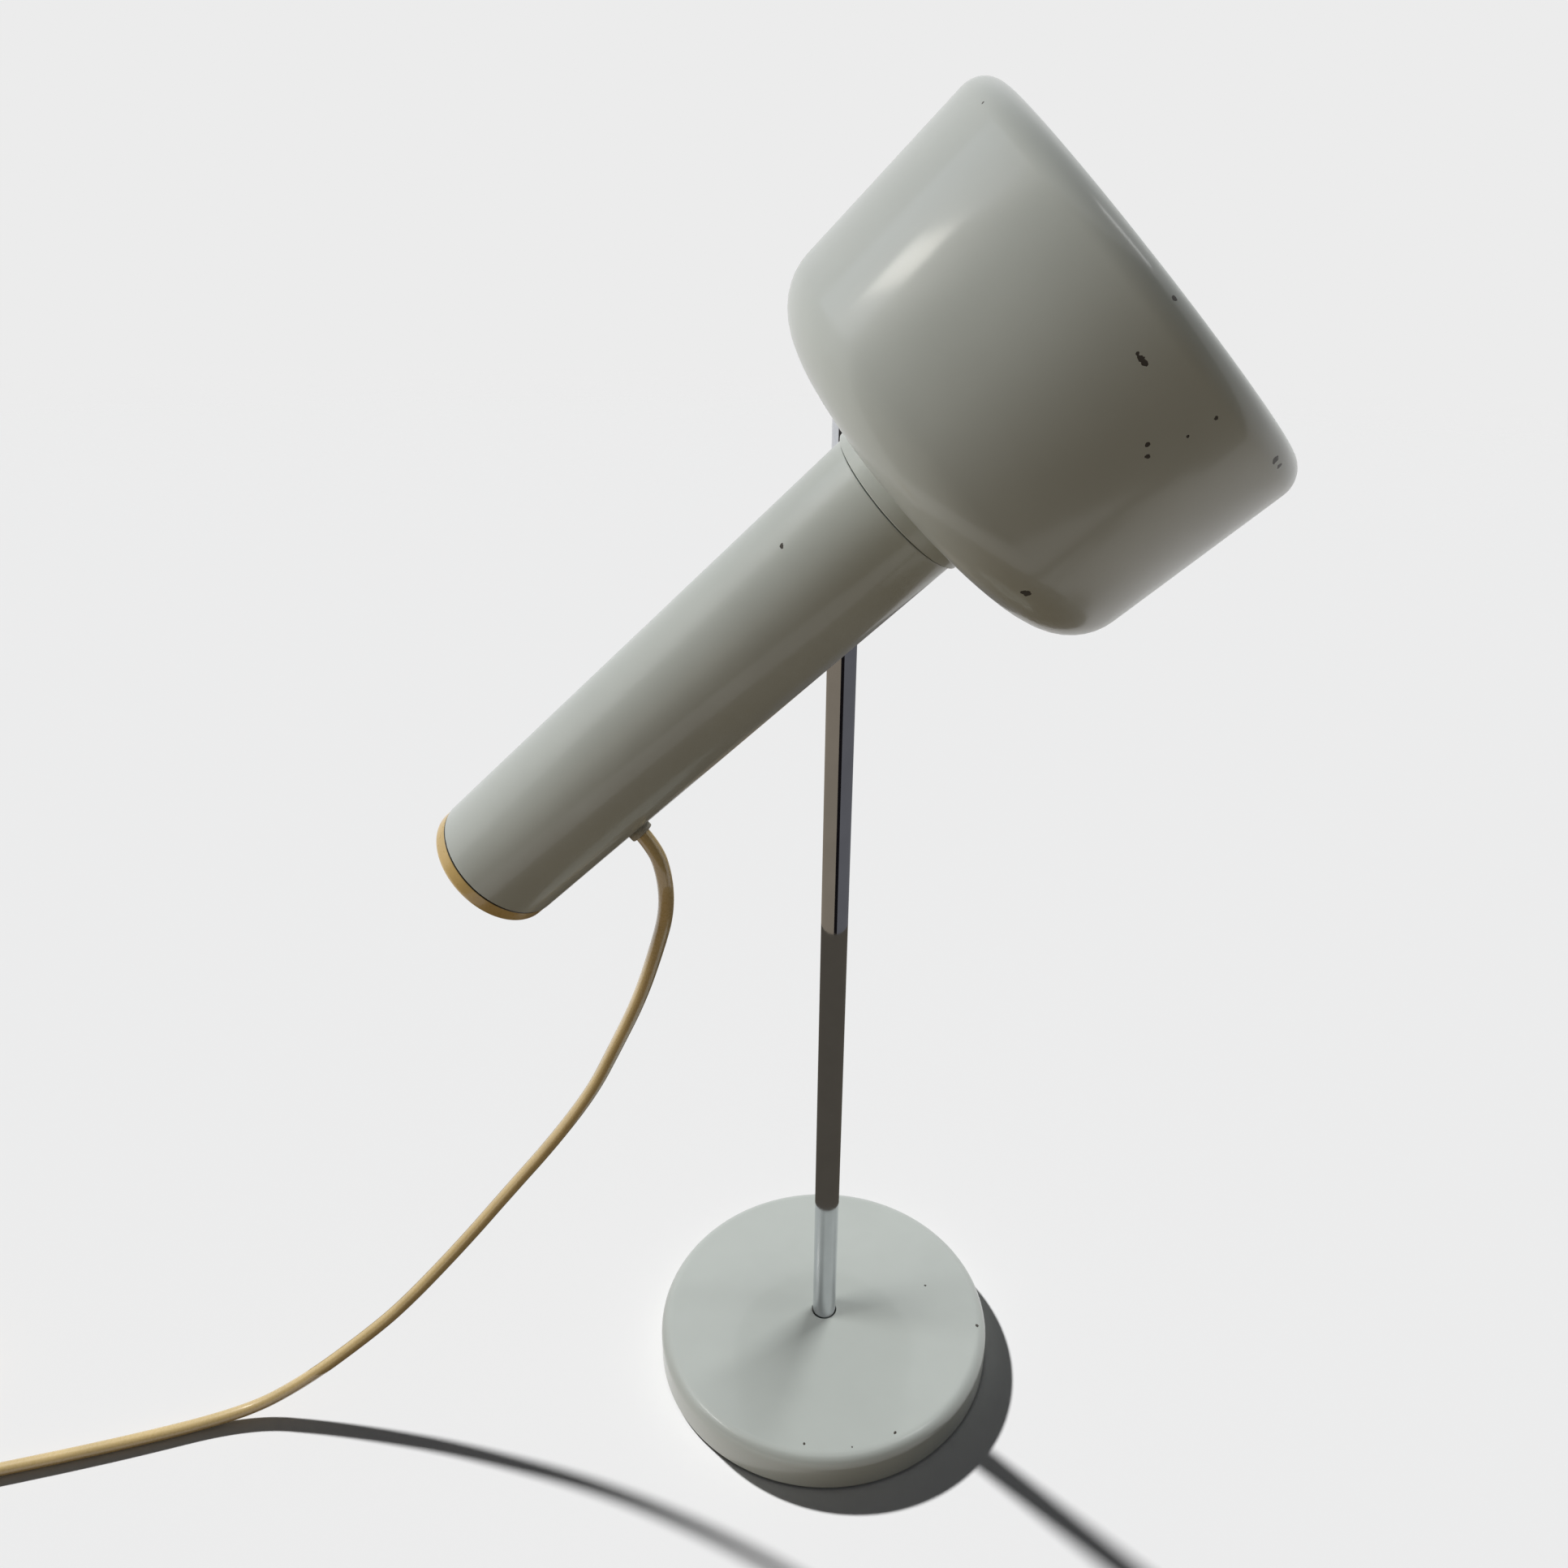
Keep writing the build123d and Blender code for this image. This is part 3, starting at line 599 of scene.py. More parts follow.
SHADE_CHIPS = (
    Chip((76.5, -123.0, 420.9), 0.7),
    Chip((75.8, -123.1, 421.7), 0.4),
    Chip((77.3, -122.8, 420.0), 0.55),
    Chip((80.1, -119.1, 404.6), 0.5),
    Chip((80.5, -118.3, 402.2), 0.55),
    Chip((87.8, -117.4, 406.3), 0.35),
    Chip((92.6, -117.1, 410.0), 0.45),
    Chip((107.6, -103.5, 400.7), 0.8),
    Chip((108.9, -101.0, 399.1), 0.7),
    Chip((59.1, -112.3, 371.8), 1.1),
    Chip((41.6, -96.6, 466.2), 0.4),
    Chip((81.3, -121.4, 431.5), 0.6),
)
TUBE_CHIPS = (
    Chip((-2.2, -82.6, 371.5), 0.6),
    Chip((21.0, -101.1, 438.9), 0.3),
)
FOOT_CHIPS = (
    Chip((42.4, 21.5, 16.2), 0.5),
    Chip((66.9, 4.9, 16.0), 0.7),
    Chip((38.5, -52.1, 16.2), 0.6),
    Chip((4.4, -64.0, 16.2), 0.5),
    Chip((22.9, -61.6, 16.2), 0.5),
)
# Stove enamel: a hard, even grey with a soft gloss, a faint orange peel and small chips to dark primer.
LAMP_GREY = StoveEnamel(
    "enamel_grey",
    "C2C8C3",
    0.4,
    coat=0.5,
    coat_roughness=0.13,
    mottle=0.025,
    mottle_size=30.0,
    grain_size=1.4,
    grain_depth=0.012,
    chips=SHADE_CHIPS + TUBE_CHIPS + FOOT_CHIPS,
)
# Chrome plate on a drawn bar: a near mirror. The marks of drawing are finer than this, and widened to show.
CHROME = Finish(
    "chrome_plate",
    "D0D2D6",
    0.07,
    metallic=1.0,
    mottle=0.03,
    mottle_size=8.0,
    grain_size=0.5,
    grain_depth=0.0006,
    grain_stretch=(1.0, 1.0, 0.06),
)
# Zinc-plated steel: a dull, slightly cloudy silver.
ZINC_STEEL = Finish("zinc_plated_steel", "B4B6B6", 0.32, metallic=1.0, mottle=0.08, mottle_size=3.0)
# Nickel plate: a warmer, softer shine than chrome.
NICKEL = Finish("nickel_plate", "C6C2B8", 0.2, metallic=1.0, mottle=0.05, mottle_size=3.0, grain_depth=0.003)
# Turned brass: yellow metal with the soft shine of a tool's cut.
BRASS = Finish("turned_brass", "B89A5C", 0.28, metallic=1.0, mottle=0.08, mottle_size=4.0, grain_depth=0.004)
# Turned aluminium: a light, dry grey metal.
ALUMINIUM = Finish("turned_aluminium", "9C9D9E", 0.35, metallic=1.0, mottle=0.05, mottle_size=5.0)
# Cast iron: dark, rough and blotched, with the skin of its sand mould.
CAST_IRON = Finish(
    "cast_iron", "3A3A3B", 0.75, metallic=0.6, mottle=0.2, mottle_size=4.0, grain_size=1.0, grain_depth=0.08
)
# Needled felt: dark, matt and hairy. Its fibres are far finer, and drawn this coarse to show.
FELT = Felt("needled_felt", "2A2E2B", 0.95, mottle=0.25, mottle_size=2.0, grain_size=0.5, grain_depth=0.15)
# Aluminium coloured dark as painted shade in the seam: it reads as a fine dark line between tube and shade.
SEAM_SHADE_ALUMINIUM = Finish("aluminium_painted_seam_shade", "3E3B38", 0.55, metallic=0.8, mottle=0.1, mottle_size=5.0)
# Nickel-plated brass, thread rolled in: bright rings.
NICKEL_THREAD = Rolled("nickel_thread", "C6C2B8", 0.22, metallic=1.0, mottle=0.05, mottle_size=3.0)
# Brass sheet, thread rolled in: yellow rings.
BRASS_THREAD = Rolled("brass_thread", "B89A5C", 0.3, metallic=1.0, mottle=0.08, mottle_size=4.0)
# Moulded ivory plastic, aged to honey: a smooth gloss, and a line of painted shade where it meets the tube.
IVORY = Moulded(
    "moulded_ivory",
    "DCBD7C",
    0.3,
    coat=0.4,
    mottle=0.05,
    mottle_size=9.0,
    grain_size=1.6,
    grain_depth=0.008,
    gap=-133.6,
    gap_width=0.9,
)
# Black phenolic, pressed in a polished mould: deep, hard and glossy.
BLACK_PHENOLIC = Finish("black_phenolic", "1D1A18", 0.3, mottle=0.15, mottle_size=3.0)
# The same phenolic with moulded grip rings.
RIBBED_PHENOLIC = Rolled(
    "ribbed_phenolic", "1D1A18", 0.3, mottle=0.15, mottle_size=3.0, pitch=2.0, thread_depth=0.4
)
# Moulded nylon: milky and waxy.
NYLON = Finish("moulded_nylon", "D9D7CD", 0.45, mottle=0.04, mottle_size=3.0)
# Vulcanised fibre: brick red, matt and slightly blotched.
RED_FIBRE = Finish("vulcanised_fibre", "7A2E22", 0.6, mottle=0.15, mottle_size=1.5)
# Steatite: an unglazed, creamy ceramic.
STEATITE = Finish("steatite", "E2DCCF", 0.55, mottle=0.05, mottle_size=2.0)
# Opal glass: milk under a clear, very glossy skin.
OPAL = OpalGlass("opal_glass", "F1EFE7", 0.08, mottle=0.01, grain_depth=0.001)
# Moulded grey plastic: plain and half matt.
GREY_MOULDED = Finish("moulded_grey", "B9B5A8", 0.5, mottle=0.05, mottle_size=3.0)
# Extruded wire covers: smooth brown and blue plastic.
BROWN_WIRE = Finish("wire_brown", "5B3822", 0.4)
BLUE_WIRE = Finish("wire_blue", "2F5E9A", 0.4)
# Extruded PVC, aged to cream: smooth and waxy, a little darker in patches.
CREAM_PVC = Finish(
    "cream_pvc", "E2C890", 0.28, coat=0.8, mottle=0.08, mottle_size=18.0, grain_size=1.0, grain_depth=0.01
)
# The plug's moulded plastic: a paler ivory with a light gloss.
PLUG_IVORY = Finish("moulded_plug_ivory", "D6C9A4", 0.35, coat=0.15, mottle=0.04, mottle_size=8.0)


# ---------------------------------------------------------------- shaping

# Points nearer than this, in metres, are one point: where a turned outline closes, and in a CAD node.
SPUN_MERGE = 0.5e-6
CAD_MERGE = 1e-6
# Triangles that lie this nearly in one plane are one face.
FLAT = math.radians(0.5)


@dataclass(frozen=True)
class Corner:
    """An outline's corner: how far along the axis and out from it, and its rounding, in millimetres."""

    along: float
    out: float
    round: float = 0.0


def traced(corners: Sequence[Corner], closed: bool = False, step: float = math.radians(9)) -> list[Vector]:
    """Follow an outline, rounding the corners that ask for it.

    Args:
        corners: The outline's corners, in order.
        closed: Whether the last corner joins the first.
        step: The turn that one short side of a rounding makes.

    Returns:
        Points whose X is along the axis and whose Y is out from it, in millimetres.
    """
    points: list[Vector] = []
    count = len(corners)
    for index, corner in enumerate(corners):
        here = Vector((corner.along, corner.out))
        at_end = not closed and index in (0, count - 1)
        if at_end or corner.round == 0.0:
            points.append(here)
            continue
        before, after = corners[index - 1], corners[(index + 1) % count]
        back = (Vector((before.along, before.out)) - here).normalized()
        ahead = (Vector((after.along, after.out)) - here).normalized()
        half = math.acos(max(-1.0, min(1.0, back.dot(ahead)))) / 2
        centre = here + (back + ahead).normalized() * (corner.round / math.sin(half))
        first = here + back * (corner.round / math.tan(half)) - centre
        last = here + ahead * (corner.round / math.tan(half)) - centre
        turn = first.angle_signed(last)
        sides = max(2, math.ceil(abs(turn) / step))
        for side in range(sides + 1):
            swing = Matrix.Rotation(-turn * side / sides, 2)
            points.append(centre + swing @ first)
    return points


def pushed(corners: Sequence[Corner], distance: float) -> list[Corner]:
    """Move an open outline to the left of its course, keeping the centres of its roundings.

    Args:
        corners: The outline's corners, in order.
        distance: How far it moves, in millimetres.

    Returns:
        The moved outline's corners.
    """
    places = [Vector((corner.along, corner.out)) for corner in corners]
    ways = [(after - before).normalized() for before, after in zip(places, places[1:])]
    moved = []
    for index, (corner, here) in enumerate(zip(corners, places)):
        before = ways[max(index - 1, 0)]
        after = ways[min(index, len(ways) - 1)]
        middle = (before + after).normalized()
        place = here + Vector((-middle.y, middle.x)) * (distance / middle.dot(after))
        rounding = corner.round
        if 0 < index < len(corners) - 1:
            rounding -= math.copysign(distance, before.cross(after))
        moved.append(Corner(place.x, place.y, rounding))
    return moved


def spun(
    corners: Sequence[Corner], place: Matrix, closed: bool = True, sides: int = 128
) -> bmesh.types.BMesh:
    """Turn an outline about its axis.

    Args:
        corners: The outline. It is closed for a ring, and open where both ends lie on the axis.
        place: Where the axis goes.
        closed: Whether the outline closes on itself.
        sides: How many sides the round has.

    Returns:
        The mesh, in place, with its faces pointing outwards.
    """
    mesh = bmesh.new()
    points = traced(corners, closed)
    dots = [mesh.verts.new((point.y * MM, 0.0, point.x * MM)) for point in points]
    lines = [mesh.edges.new(pair) for pair in zip(dots, dots[1:])]
    if closed:
        lines.append(mesh.edges.new((dots[-1], dots[0])))
    bmesh.ops.spin(
        mesh,
        geom=dots + lines,
        cent=(0, 0, 0),
        axis=(0, 0, 1),
        angle=FULL_TURN,
        steps=sides,
        use_merge=True,
        use_duplicate=False,
    )
    bmesh.ops.remove_doubles(mesh, verts=mesh.verts, dist=SPUN_MERGE)
    bmesh.ops.recalc_face_normals(mesh, faces=mesh.faces)
    bmesh.ops.transform(mesh, matrix=place, verts=mesh.verts)
    return mesh


def ring(
    floor: float, top: float, inner: float, outer: float, place: Matrix, edge: float = 0.3, sides: int = 96
) -> bmesh.types.BMesh:
    """Make a ring with softened edges.

    Args:
        floor: Where it starts along its axis, in millimetres.
        top: Where it ends.
        inner: The radius of its hole.
        outer: Its outer radius.
        place: Where the axis goes.
        edge: The rounding of its edges.
        sides: How many sides the round has.

    Returns:
        The mesh, in place.
    """
    outline = [
        Corner(floor, inner, edge),
        Corner(floor, outer, edge),
        Corner(top, outer, edge),
        Corner(top, inner, edge),
    ]
    return spun(outline, place, sides=sides)


def merged_copy(node: str) -> bmesh.types.BMesh:
    """Copy a CAD node's shape and join its loose triangles, for a piece that stands for it.

    Args:
        node: The node's name.

    Returns:
        The mesh, in place.
    """
    mesh = bmesh.new()
    mesh.from_mesh(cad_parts[node].data)
    bmesh.ops.remove_doubles(mesh, verts=mesh.verts, dist=CAD_MERGE)
    bmesh.ops.dissolve_limit(mesh, angle_limit=FLAT, verts=mesh.verts, edges=mesh.edges)
    return mesh


def put_in_scene(name: str, data: bpy.types.ID | None) -> bpy.types.Object:
    """Make an object that shows data, and link it to the scene.

    Args:
        name: The object's name.
        data: Its mesh, curve, light or camera.

    Returns:
        The object.
    """
    thing = bpy.data.objects.new(name, data)
    bpy.context.scene.collection.objects.link(thing)
    return thing


def mesh_of(curve: bpy.types.Curve) -> bpy.types.Mesh:
    """Turn a curve into a mesh, and remove the curve.

    Args:
        curve: The curve.

    Returns:
        The mesh: a line for a bare curve, and a surface for a curve with a bevel.
    """
    holder = put_in_scene(curve.name, curve)
    bpy.context.view_layer.update()
    evaluated = holder.evaluated_get(bpy.context.evaluated_depsgraph_get())
    data = bpy.data.meshes.new_from_object(evaluated)
    bpy.data.objects.remove(holder)
    bpy.data.curves.remove(curve)
    return data


class Assembly:
    """A sub-assembly whose pieces ride on one body unless they say otherwise.

    Edges sharper than crease stay sharp in the shading, and those sharper than bevel_angle can be softened.
    """

    body = "base"
    crease = math.radians(35)
    bevel_angle = math.radians(40)
    bevel_segments = 2

    def add(
        self,
        name: str,
        mesh: bmesh.types.BMesh,
        finish: Finish,
        slot: str,
        nodes: Sequence[str],
        body: str | None = None,
    ) -> bpy.types.Object:
        """Make a piece from its mesh, dress it, and put it on its body.

        Args:
            name: The piece's name.
            mesh: Its shape, in place. It is freed here.
            finish: Its finish.
            slot: The record's material slot that it belongs to. It is not used.
            nodes: The CAD nodes that it stands for.
            body: The body it rides on, if not the assembly's own.

        Returns:
            The piece.
        """
        data = bpy.data.meshes.new(name)
        mesh.to_mesh(data)
        mesh.free()
        data.shade_smooth()
        data.set_sharp_from_angle(angle=self.crease)
        piece = self.stood(name, data, finish, slot, nodes)
        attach(piece, body or self.body)
        return piece

    def stood(
        self, name: str, data: bpy.types.Mesh, finish: Finish, slot: str, nodes: Sequence[str]
    ) -> bpy.types.Object:
        """Stand a piece in for CAD nodes, in its finish.

        Args:
            name: The piece's name.
            data: Its mesh.
            finish: Its finish.
            slot: The record's material slot that it belongs to. It is not used.
            nodes: The CAD nodes that it stands for.

        Returns:
            The piece, on no body yet.
        """
        piece = put_in_scene(name, data)
        data.materials.clear()
        data.materials.append(finish.material())
        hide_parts(*nodes)
        log.info("%s: %d faces", name, len(data.polygons))
        return piece

    def dress(self, finish: Finish, *nodes: str) -> None:
        """Give CAD nodes that stay as they are their finish.

        Args:
            finish: The finish.
            *nodes: The nodes' names.
        """
        for node in nodes:
            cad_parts[node].material_slots[0].material = finish.material()
            log.info("%s: %s", node, finish.name)

    def refined(
        self,
        name: str,
        node: str,
        finish: Finish,
        slot: str,
        width: float = 0.0,
        body: str | None = None,
    ) -> None:
        """Stand a smooth copy in for a CAD node.

        Args:
            name: The piece's name.
            node: The node's name.
            finish: The piece's finish.
            slot: The record's material slot that it belongs to. It is not used.
            width: How wide its sharp edges are softened, in millimetres.
            body: The body it rides on, if not the assembly's own.
        """
        piece = self.add(name, merged_copy(node), finish, slot, [node], body)
        if width:
            bevel = piece.modifiers.new("soft_edges", "BEVEL")
            bevel.width = width * MM
            bevel.segments = self.bevel_segments
            bevel.limit_method = "ANGLE"
            bevel.angle_limit = self.bevel_angle
            bevel.harden_normals = False


# ---------------------------------------------------------------- foot and stem


@dataclass
class Foot(Assembly):
    """The weighted foot: an enamelled steel cover over cast iron, on felt."""

    radius: float = 71.0
    height: float = 16.2
    edge: float = 5.0
    wall: float = 1.5
    lift: float = 0.8
    hem: float = 0.6
    hem_inside: float = 0.3
    hole: float = 5.3
    hole_edge: float = 0.25
    sides: int = 192
    body = "base"

    def build(self) -> None:
        """Make the foot's pieces."""
        inside = self.radius - self.wall
        under = self.height - self.wall
        outline = [
            Corner(self.lift, inside, self.hem_inside),
            Corner(self.lift, self.radius, self.hem),
            Corner(self.height, self.radius, self.edge),
            Corner(self.height, self.hole, self.hole_edge),
            Corner(under, self.hole, self.hole_edge),
            Corner(under, inside, self.edge - self.wall),
        ]
        cover = spun(outline, FOOT_PLACE, sides=self.sides)
        self.add("foot_cover", cover, LAMP_GREY, "grey_enamel", ["base_shell"])
        self.dress(CAST_IRON, "base_weight")
        self.dress(FELT, "base_felt")
        self.dress(BRASS, "stem_bush")


@dataclass
class Stem(Assembly):
    """The chromed bar with its softened top, and the friction bearing at its foot."""

    radius: float = 5.0
    top: float = 395.0
    top_round: float = 1.4
    shoulder: float = 13.05
    shoulder_edge: float = 0.2
    tail_radius: float = 4.0
    tail_end: float = 2.5
    tail_edge: float = 0.3
    body = "stem"

    def build(self) -> None:
        """Make the stem's pieces."""
        outline = [
            Corner(self.tail_end, 0),
            Corner(self.tail_end, self.tail_radius, self.tail_edge),
            Corner(self.shoulder, self.tail_radius),
            Corner(self.shoulder, self.radius, self.shoulder_edge),
            Corner(self.top, self.radius, self.top_round),
            Corner(self.top, 0),
        ]
        self.add("stem_bar", spun(outline, FOOT_PLACE, closed=False), CHROME, "chrome", ["stem"])
        self.dress(NYLON, "thrust_washer")
        self.dress(ZINC_STEEL, "foot_spring", "foot_washer", "foot_nut")


@dataclass
class Knuckle(Assembly):
    """The block that slides on the stem and carries the head's tilt pivot."""

    edge: float = 0.35
    body = "slider"

    def build(self) -> None:
        """Make the knuckle's pieces."""
        self.refined("knuckle_block", "knuckle", CHROME, "chrome", self.edge)
        self.dress(NYLON, "slide_bushes", "friction_pad")
        self.dress(ZINC_STEEL, "tension_screw", "pivot_stud", "pivot_spring", "pivot_nut")
        self.dress(RED_FIBRE, "fibre_washer")


# ---------------------------------------------------------------- head


@dataclass
class Torch(Assembly):
    """The tube, the shade on its front, and what joins them."""

    tube_radius: float = 21.25
    tube_wall: float = 1.0
    tube_edge: float = 0.3
    tube_sides: int = 160
    rear: float = -133.4
    front: float = 34.0
    seam: float = 0.4
    neck: float = 8.9
    neck_blend: float = 1.5
    back_radius: float = 56.7
    back_cone: float = 2.0
    shoulder: float = 14.0
    front_radius: float = 57.6
    length: float = 77.2
    rim: float = 6.0
    mouth: float = 50.6
    wall: float = 1.0
    lip: float = 0.3
    shade_sides: int = 192
    saddle_edge: float = 0.3
    body = "head"

    def build(self) -> None:
        """Make the tube, the shade and the pivot saddles."""
        self.add("torch_tube_skin", self.tube(), LAMP_GREY, "grey_enamel", ["torch_tube"])
        self.add("shade_shell", self.shade(), LAMP_GREY, "grey_enamel", ["shade"])
        self.refined("outer_saddle_skin", "outer_saddle", LAMP_GREY, "grey_enamel", self.saddle_edge)
        # The spigot's dark finish is painted shade in the seam between tube and shade.
        self.refined("spigot_ring", "spigot", SEAM_SHADE_ALUMINIUM, "turned_aluminium")
        self.dress(ALUMINIUM, "inner_saddle")

    def tube(self) -> bmesh.types.BMesh:
        """Return the torch tube, open at both ends."""
        inside = self.tube_radius - self.tube_wall
        return ring(
            self.rear, self.front, inside, self.tube_radius, HEAD_PLACE, self.tube_edge, self.tube_sides
        )

    def shade(self) -> bmesh.types.BMesh:
        """Make the shade: one pressed wall, with its front edge rolled inwards.

        Returns:
            The mesh, in place.
        """
        back = self.front + self.neck
        front = self.front + self.length
        inner = [
            Corner(self.front + self.seam, self.tube_radius, self.lip),
            Corner(back, self.tube_radius, self.neck_blend),
            Corner(back + self.back_cone, self.back_radius, self.shoulder),
            Corner(front, self.front_radius, self.rim),
            Corner(front, self.mouth, self.lip),
        ]
        return spun(pushed(inner, self.wall) + inner[::-1], HEAD_PLACE, sides=self.shade_sides)


@dataclass
class Lampholder(Assembly):
    """The screw lampholder and its opal bulb."""

    edge: float = 0.4
    body = "head"

    def build(self) -> None:
        """Make the lampholder's and the bulb's pieces."""
        self.dress(BRASS, "lampholder_nut")
        self.dress(STEATITE, "lampholder_core")
        self.refined("holder_cap", "lampholder_cap", BLACK_PHENOLIC, "black_phenolic", self.edge)
        self.refined("holder_skirt", "lampholder_skirt", RIBBED_PHENOLIC, "black_phenolic", self.edge)
        self.refined("holder_thread", "screw_shell", BRASS_THREAD, "brass")
        self.refined("bulb_thread", "bulb_cap", NICKEL_THREAD, "nickel")
        self.refined("bulb_globe", "bulb_glass", OPAL, "opal_glass")


@dataclass
class RearCap(Assembly):
    """The moulded cap that closes the tube, with the push-button switch in it."""

    cap_edge: float = 0.3
    switch_edge: float = 0.2
    body = "head"

    def build(self) -> None:
        """Make the cap's and the switch's pieces."""
        self.refined("rear_cap_moulding", "rear_cap", IVORY, "ivory_plastic", self.cap_edge)
        self.refined("switch_ring", "switch_nut", NICKEL, "nickel", self.switch_edge)
        self.refined(
            "switch_push", "switch_button", BLACK_PHENOLIC, "black_phenolic", self.switch_edge, "button"
        )
        self.dress(BLACK_PHENOLIC, "switch_body")


@dataclass
class Wiring(Assembly):
    """The gland, the inner wires and the mains lead with its plug.

    The lead is one smooth line, made as two tubes that meet at the joint: one runs from inside the gland to
    the joint, and the other hangs from it to the table and lies there in a coil of two layers.
    """

    cord_radius: float = 2.5
    cord_roundness: int = 6
    tube_radius: float = 21.25
    gland_along: float = -90.9
    gland_height: float = 2.0
    inside_gland: float = 6.5
    outside_gland: float = 5.0
    joint: tuple[float, float, float] = (-53.93, -51.69, 218.57)
    coil_centre: tuple[float, float] = (-374.0, -122.0)
    coil_outer: float = 37.75
    coil_inner: float = 20.25
    coil_turns: float = 3.5
    points_per_turn: int = 16
    entry_angle: float = math.radians(-62.6)
    entry_run: float = 36.0
    exit_angle: float = math.radians(-143.0)
    exit_height: float = 6.85
    exit_run: float = 16.0
    plug_shift: tuple[float, float, float] = (-1.6, -1.2, 0.0)
    steps_per_span: int = 10
    body = "head"

    def build(self) -> None:
        """Make the gland, the lead and the plug."""
        self.refined("gland_flare", "cord_gland", GREY_MOULDED, "grey_plastic")
        self.dress(GREY_MOULDED, "gland_nut")
        self.dress(BROWN_WIRE, "live_wire", "switch_wire")
        self.dress(BLUE_WIRE, "neutral_wire")
        self.dress(NICKEL, "plug_pins")
        moulding = merged_copy("plug_body")
        plug = self.add("plug_moulding", moulding, PLUG_IVORY, "plug_ivory", ["plug_body"], "stem")
        line = self.centre_line()
        split = self.nearest(line, Vector(self.joint) * MM)
        drop = self.tube("lead_drop", line[: split + 1], ["cord_drop"])
        lead = self.tube("lead_on_table", line[split:], ["cord_lead", "cord_coil", "cord_tail"])
        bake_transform(drop)
        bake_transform(lead)
        log.info("lead: %.3f m in all", self.length_of(line))

    def from_gland(self, distance: float) -> Vector:
        """Return the point on the gland's axis that is distance out from the head's axis."""
        return PIVOT + HEAD_DIRECTION * self.gland_along - HEAD_TOP * distance

    def on_coil(self, angle: float, radius: float, height: float) -> Vector:
        """Return a point of the coil, by its angle and radius seen from above, and its height."""
        centre = Vector((*self.coil_centre, height))
        return centre + Vector((math.cos(angle), math.sin(angle), 0.0)) * radius

    def heading(self, angle: float) -> Vector:
        """Return the way the coil's clockwise turns run at an angle."""
        return Vector((math.sin(angle), -math.cos(angle), 0.0))

    def route(self) -> list[Vector]:
        """List the lead's control points from the gland to the plug.

        Returns:
            The points, in millimetres.
        """
        mouth = self.tube_radius + self.gland_height
        entry = self.on_coil(self.entry_angle, self.coil_outer, self.cord_radius)
        hanging = [
            self.from_gland(mouth - self.inside_gland),
            self.from_gland(mouth + self.outside_gland),
            Vector((-42.6, -64.4, 261.8)),
            Vector((-43.6, -61.6, 248.3)),
            Vector((-49.2, -55.6, 231.3)),
            Vector((-59.7, -46.9, 203.0)),
            Vector((-73.6, -38.9, 173.3)),
            Vector((-85.4, -34.7, 148.6)),
            Vector((-103.8, -34.1, 120.0)),
            Vector((-123.2, -37.4, 94.2)),
            Vector((-142.3, -44.7, 69.3)),
            Vector((-164.7, -57.1, 43.8)),
            Vector((-180.0, -64.9, 30.2)),
            Vector((-202.5, -76.8, 13.4)),
            Vector((-224.5, -87.4, self.cord_radius)),
            Vector((-266.3, -110.8, self.cord_radius)),
            entry - self.heading(self.entry_angle) * self.entry_run,
        ]
        return hanging + self.coil() + self.tail()

    def coil(self) -> list[Vector]:
        """List the coil's control points: inwards on the table, up at the middle, and outwards on top.

        Returns:
            The points, in millimetres.
        """
        step = FULL_TURN / self.points_per_turn
        quarter = (self.entry_angle - self.exit_angle) % FULL_TURN
        each_way = self.coil_turns * FULL_TURN
        whole = 2 * each_way + quarter
        lift = 1 / math.cos(step / 2)
        count = round(whole / step)
        points = []
        for index in range(count + 1):
            turned = whole * index / count
            inwards = min(turned, each_way) / each_way
            outwards = max(0.0, turned - each_way - quarter) / each_way
            climb = min(1.0, max(0.0, turned - each_way) / quarter)
            reach = (self.coil_outer - self.coil_inner) * (inwards - outwards)
            height = self.cord_radius * (1 + 2 * climb)
            angle = self.entry_angle - turned
            points.append(self.on_coil(angle, (self.coil_outer - reach) * lift, height))
        return points

    def tail(self) -> list[Vector]:
        """List the control points from the coil into the plug.

        Returns:
            The points, in millimetres.
        """
        leaving = self.on_coil(self.exit_angle, self.coil_outer, self.exit_height)
        ahead = self.heading(self.exit_angle) * self.exit_run
        return [leaving + ahead, leaving + ahead * 2 + Vector(self.plug_shift)]

    def centre_line(self) -> list[Vector]:
        """Read the lead's smooth centre line from its spline.

        Returns:
            The line's points, in metres.
        """
        curve = bpy.data.curves.new("lead_route", "CURVE")
        curve.dimensions = "3D"
        curve.resolution_u = self.steps_per_span
        spline = curve.splines.new("NURBS")
        route = self.route()
        spline.points.add(len(route) - 1)
        for point, place in zip(spline.points, route):
            point.co = (*(place * MM), 1.0)
        spline.order_u = 3
        spline.use_endpoint_u = True
        data = mesh_of(curve)
        line = [vertex.co.copy() for vertex in data.vertices]
        bpy.data.meshes.remove(data)
        return line

    def nearest(self, line: Sequence[Vector], place: Vector) -> int:
        """Return the number of the line's point that is nearest to place."""
        return min(range(len(line)), key=lambda index: (line[index] - place).length)

    def length_of(self, line: Sequence[Vector]) -> float:
        """Return a line's length."""
        return sum((after - before).length for before, after in zip(line, line[1:]))

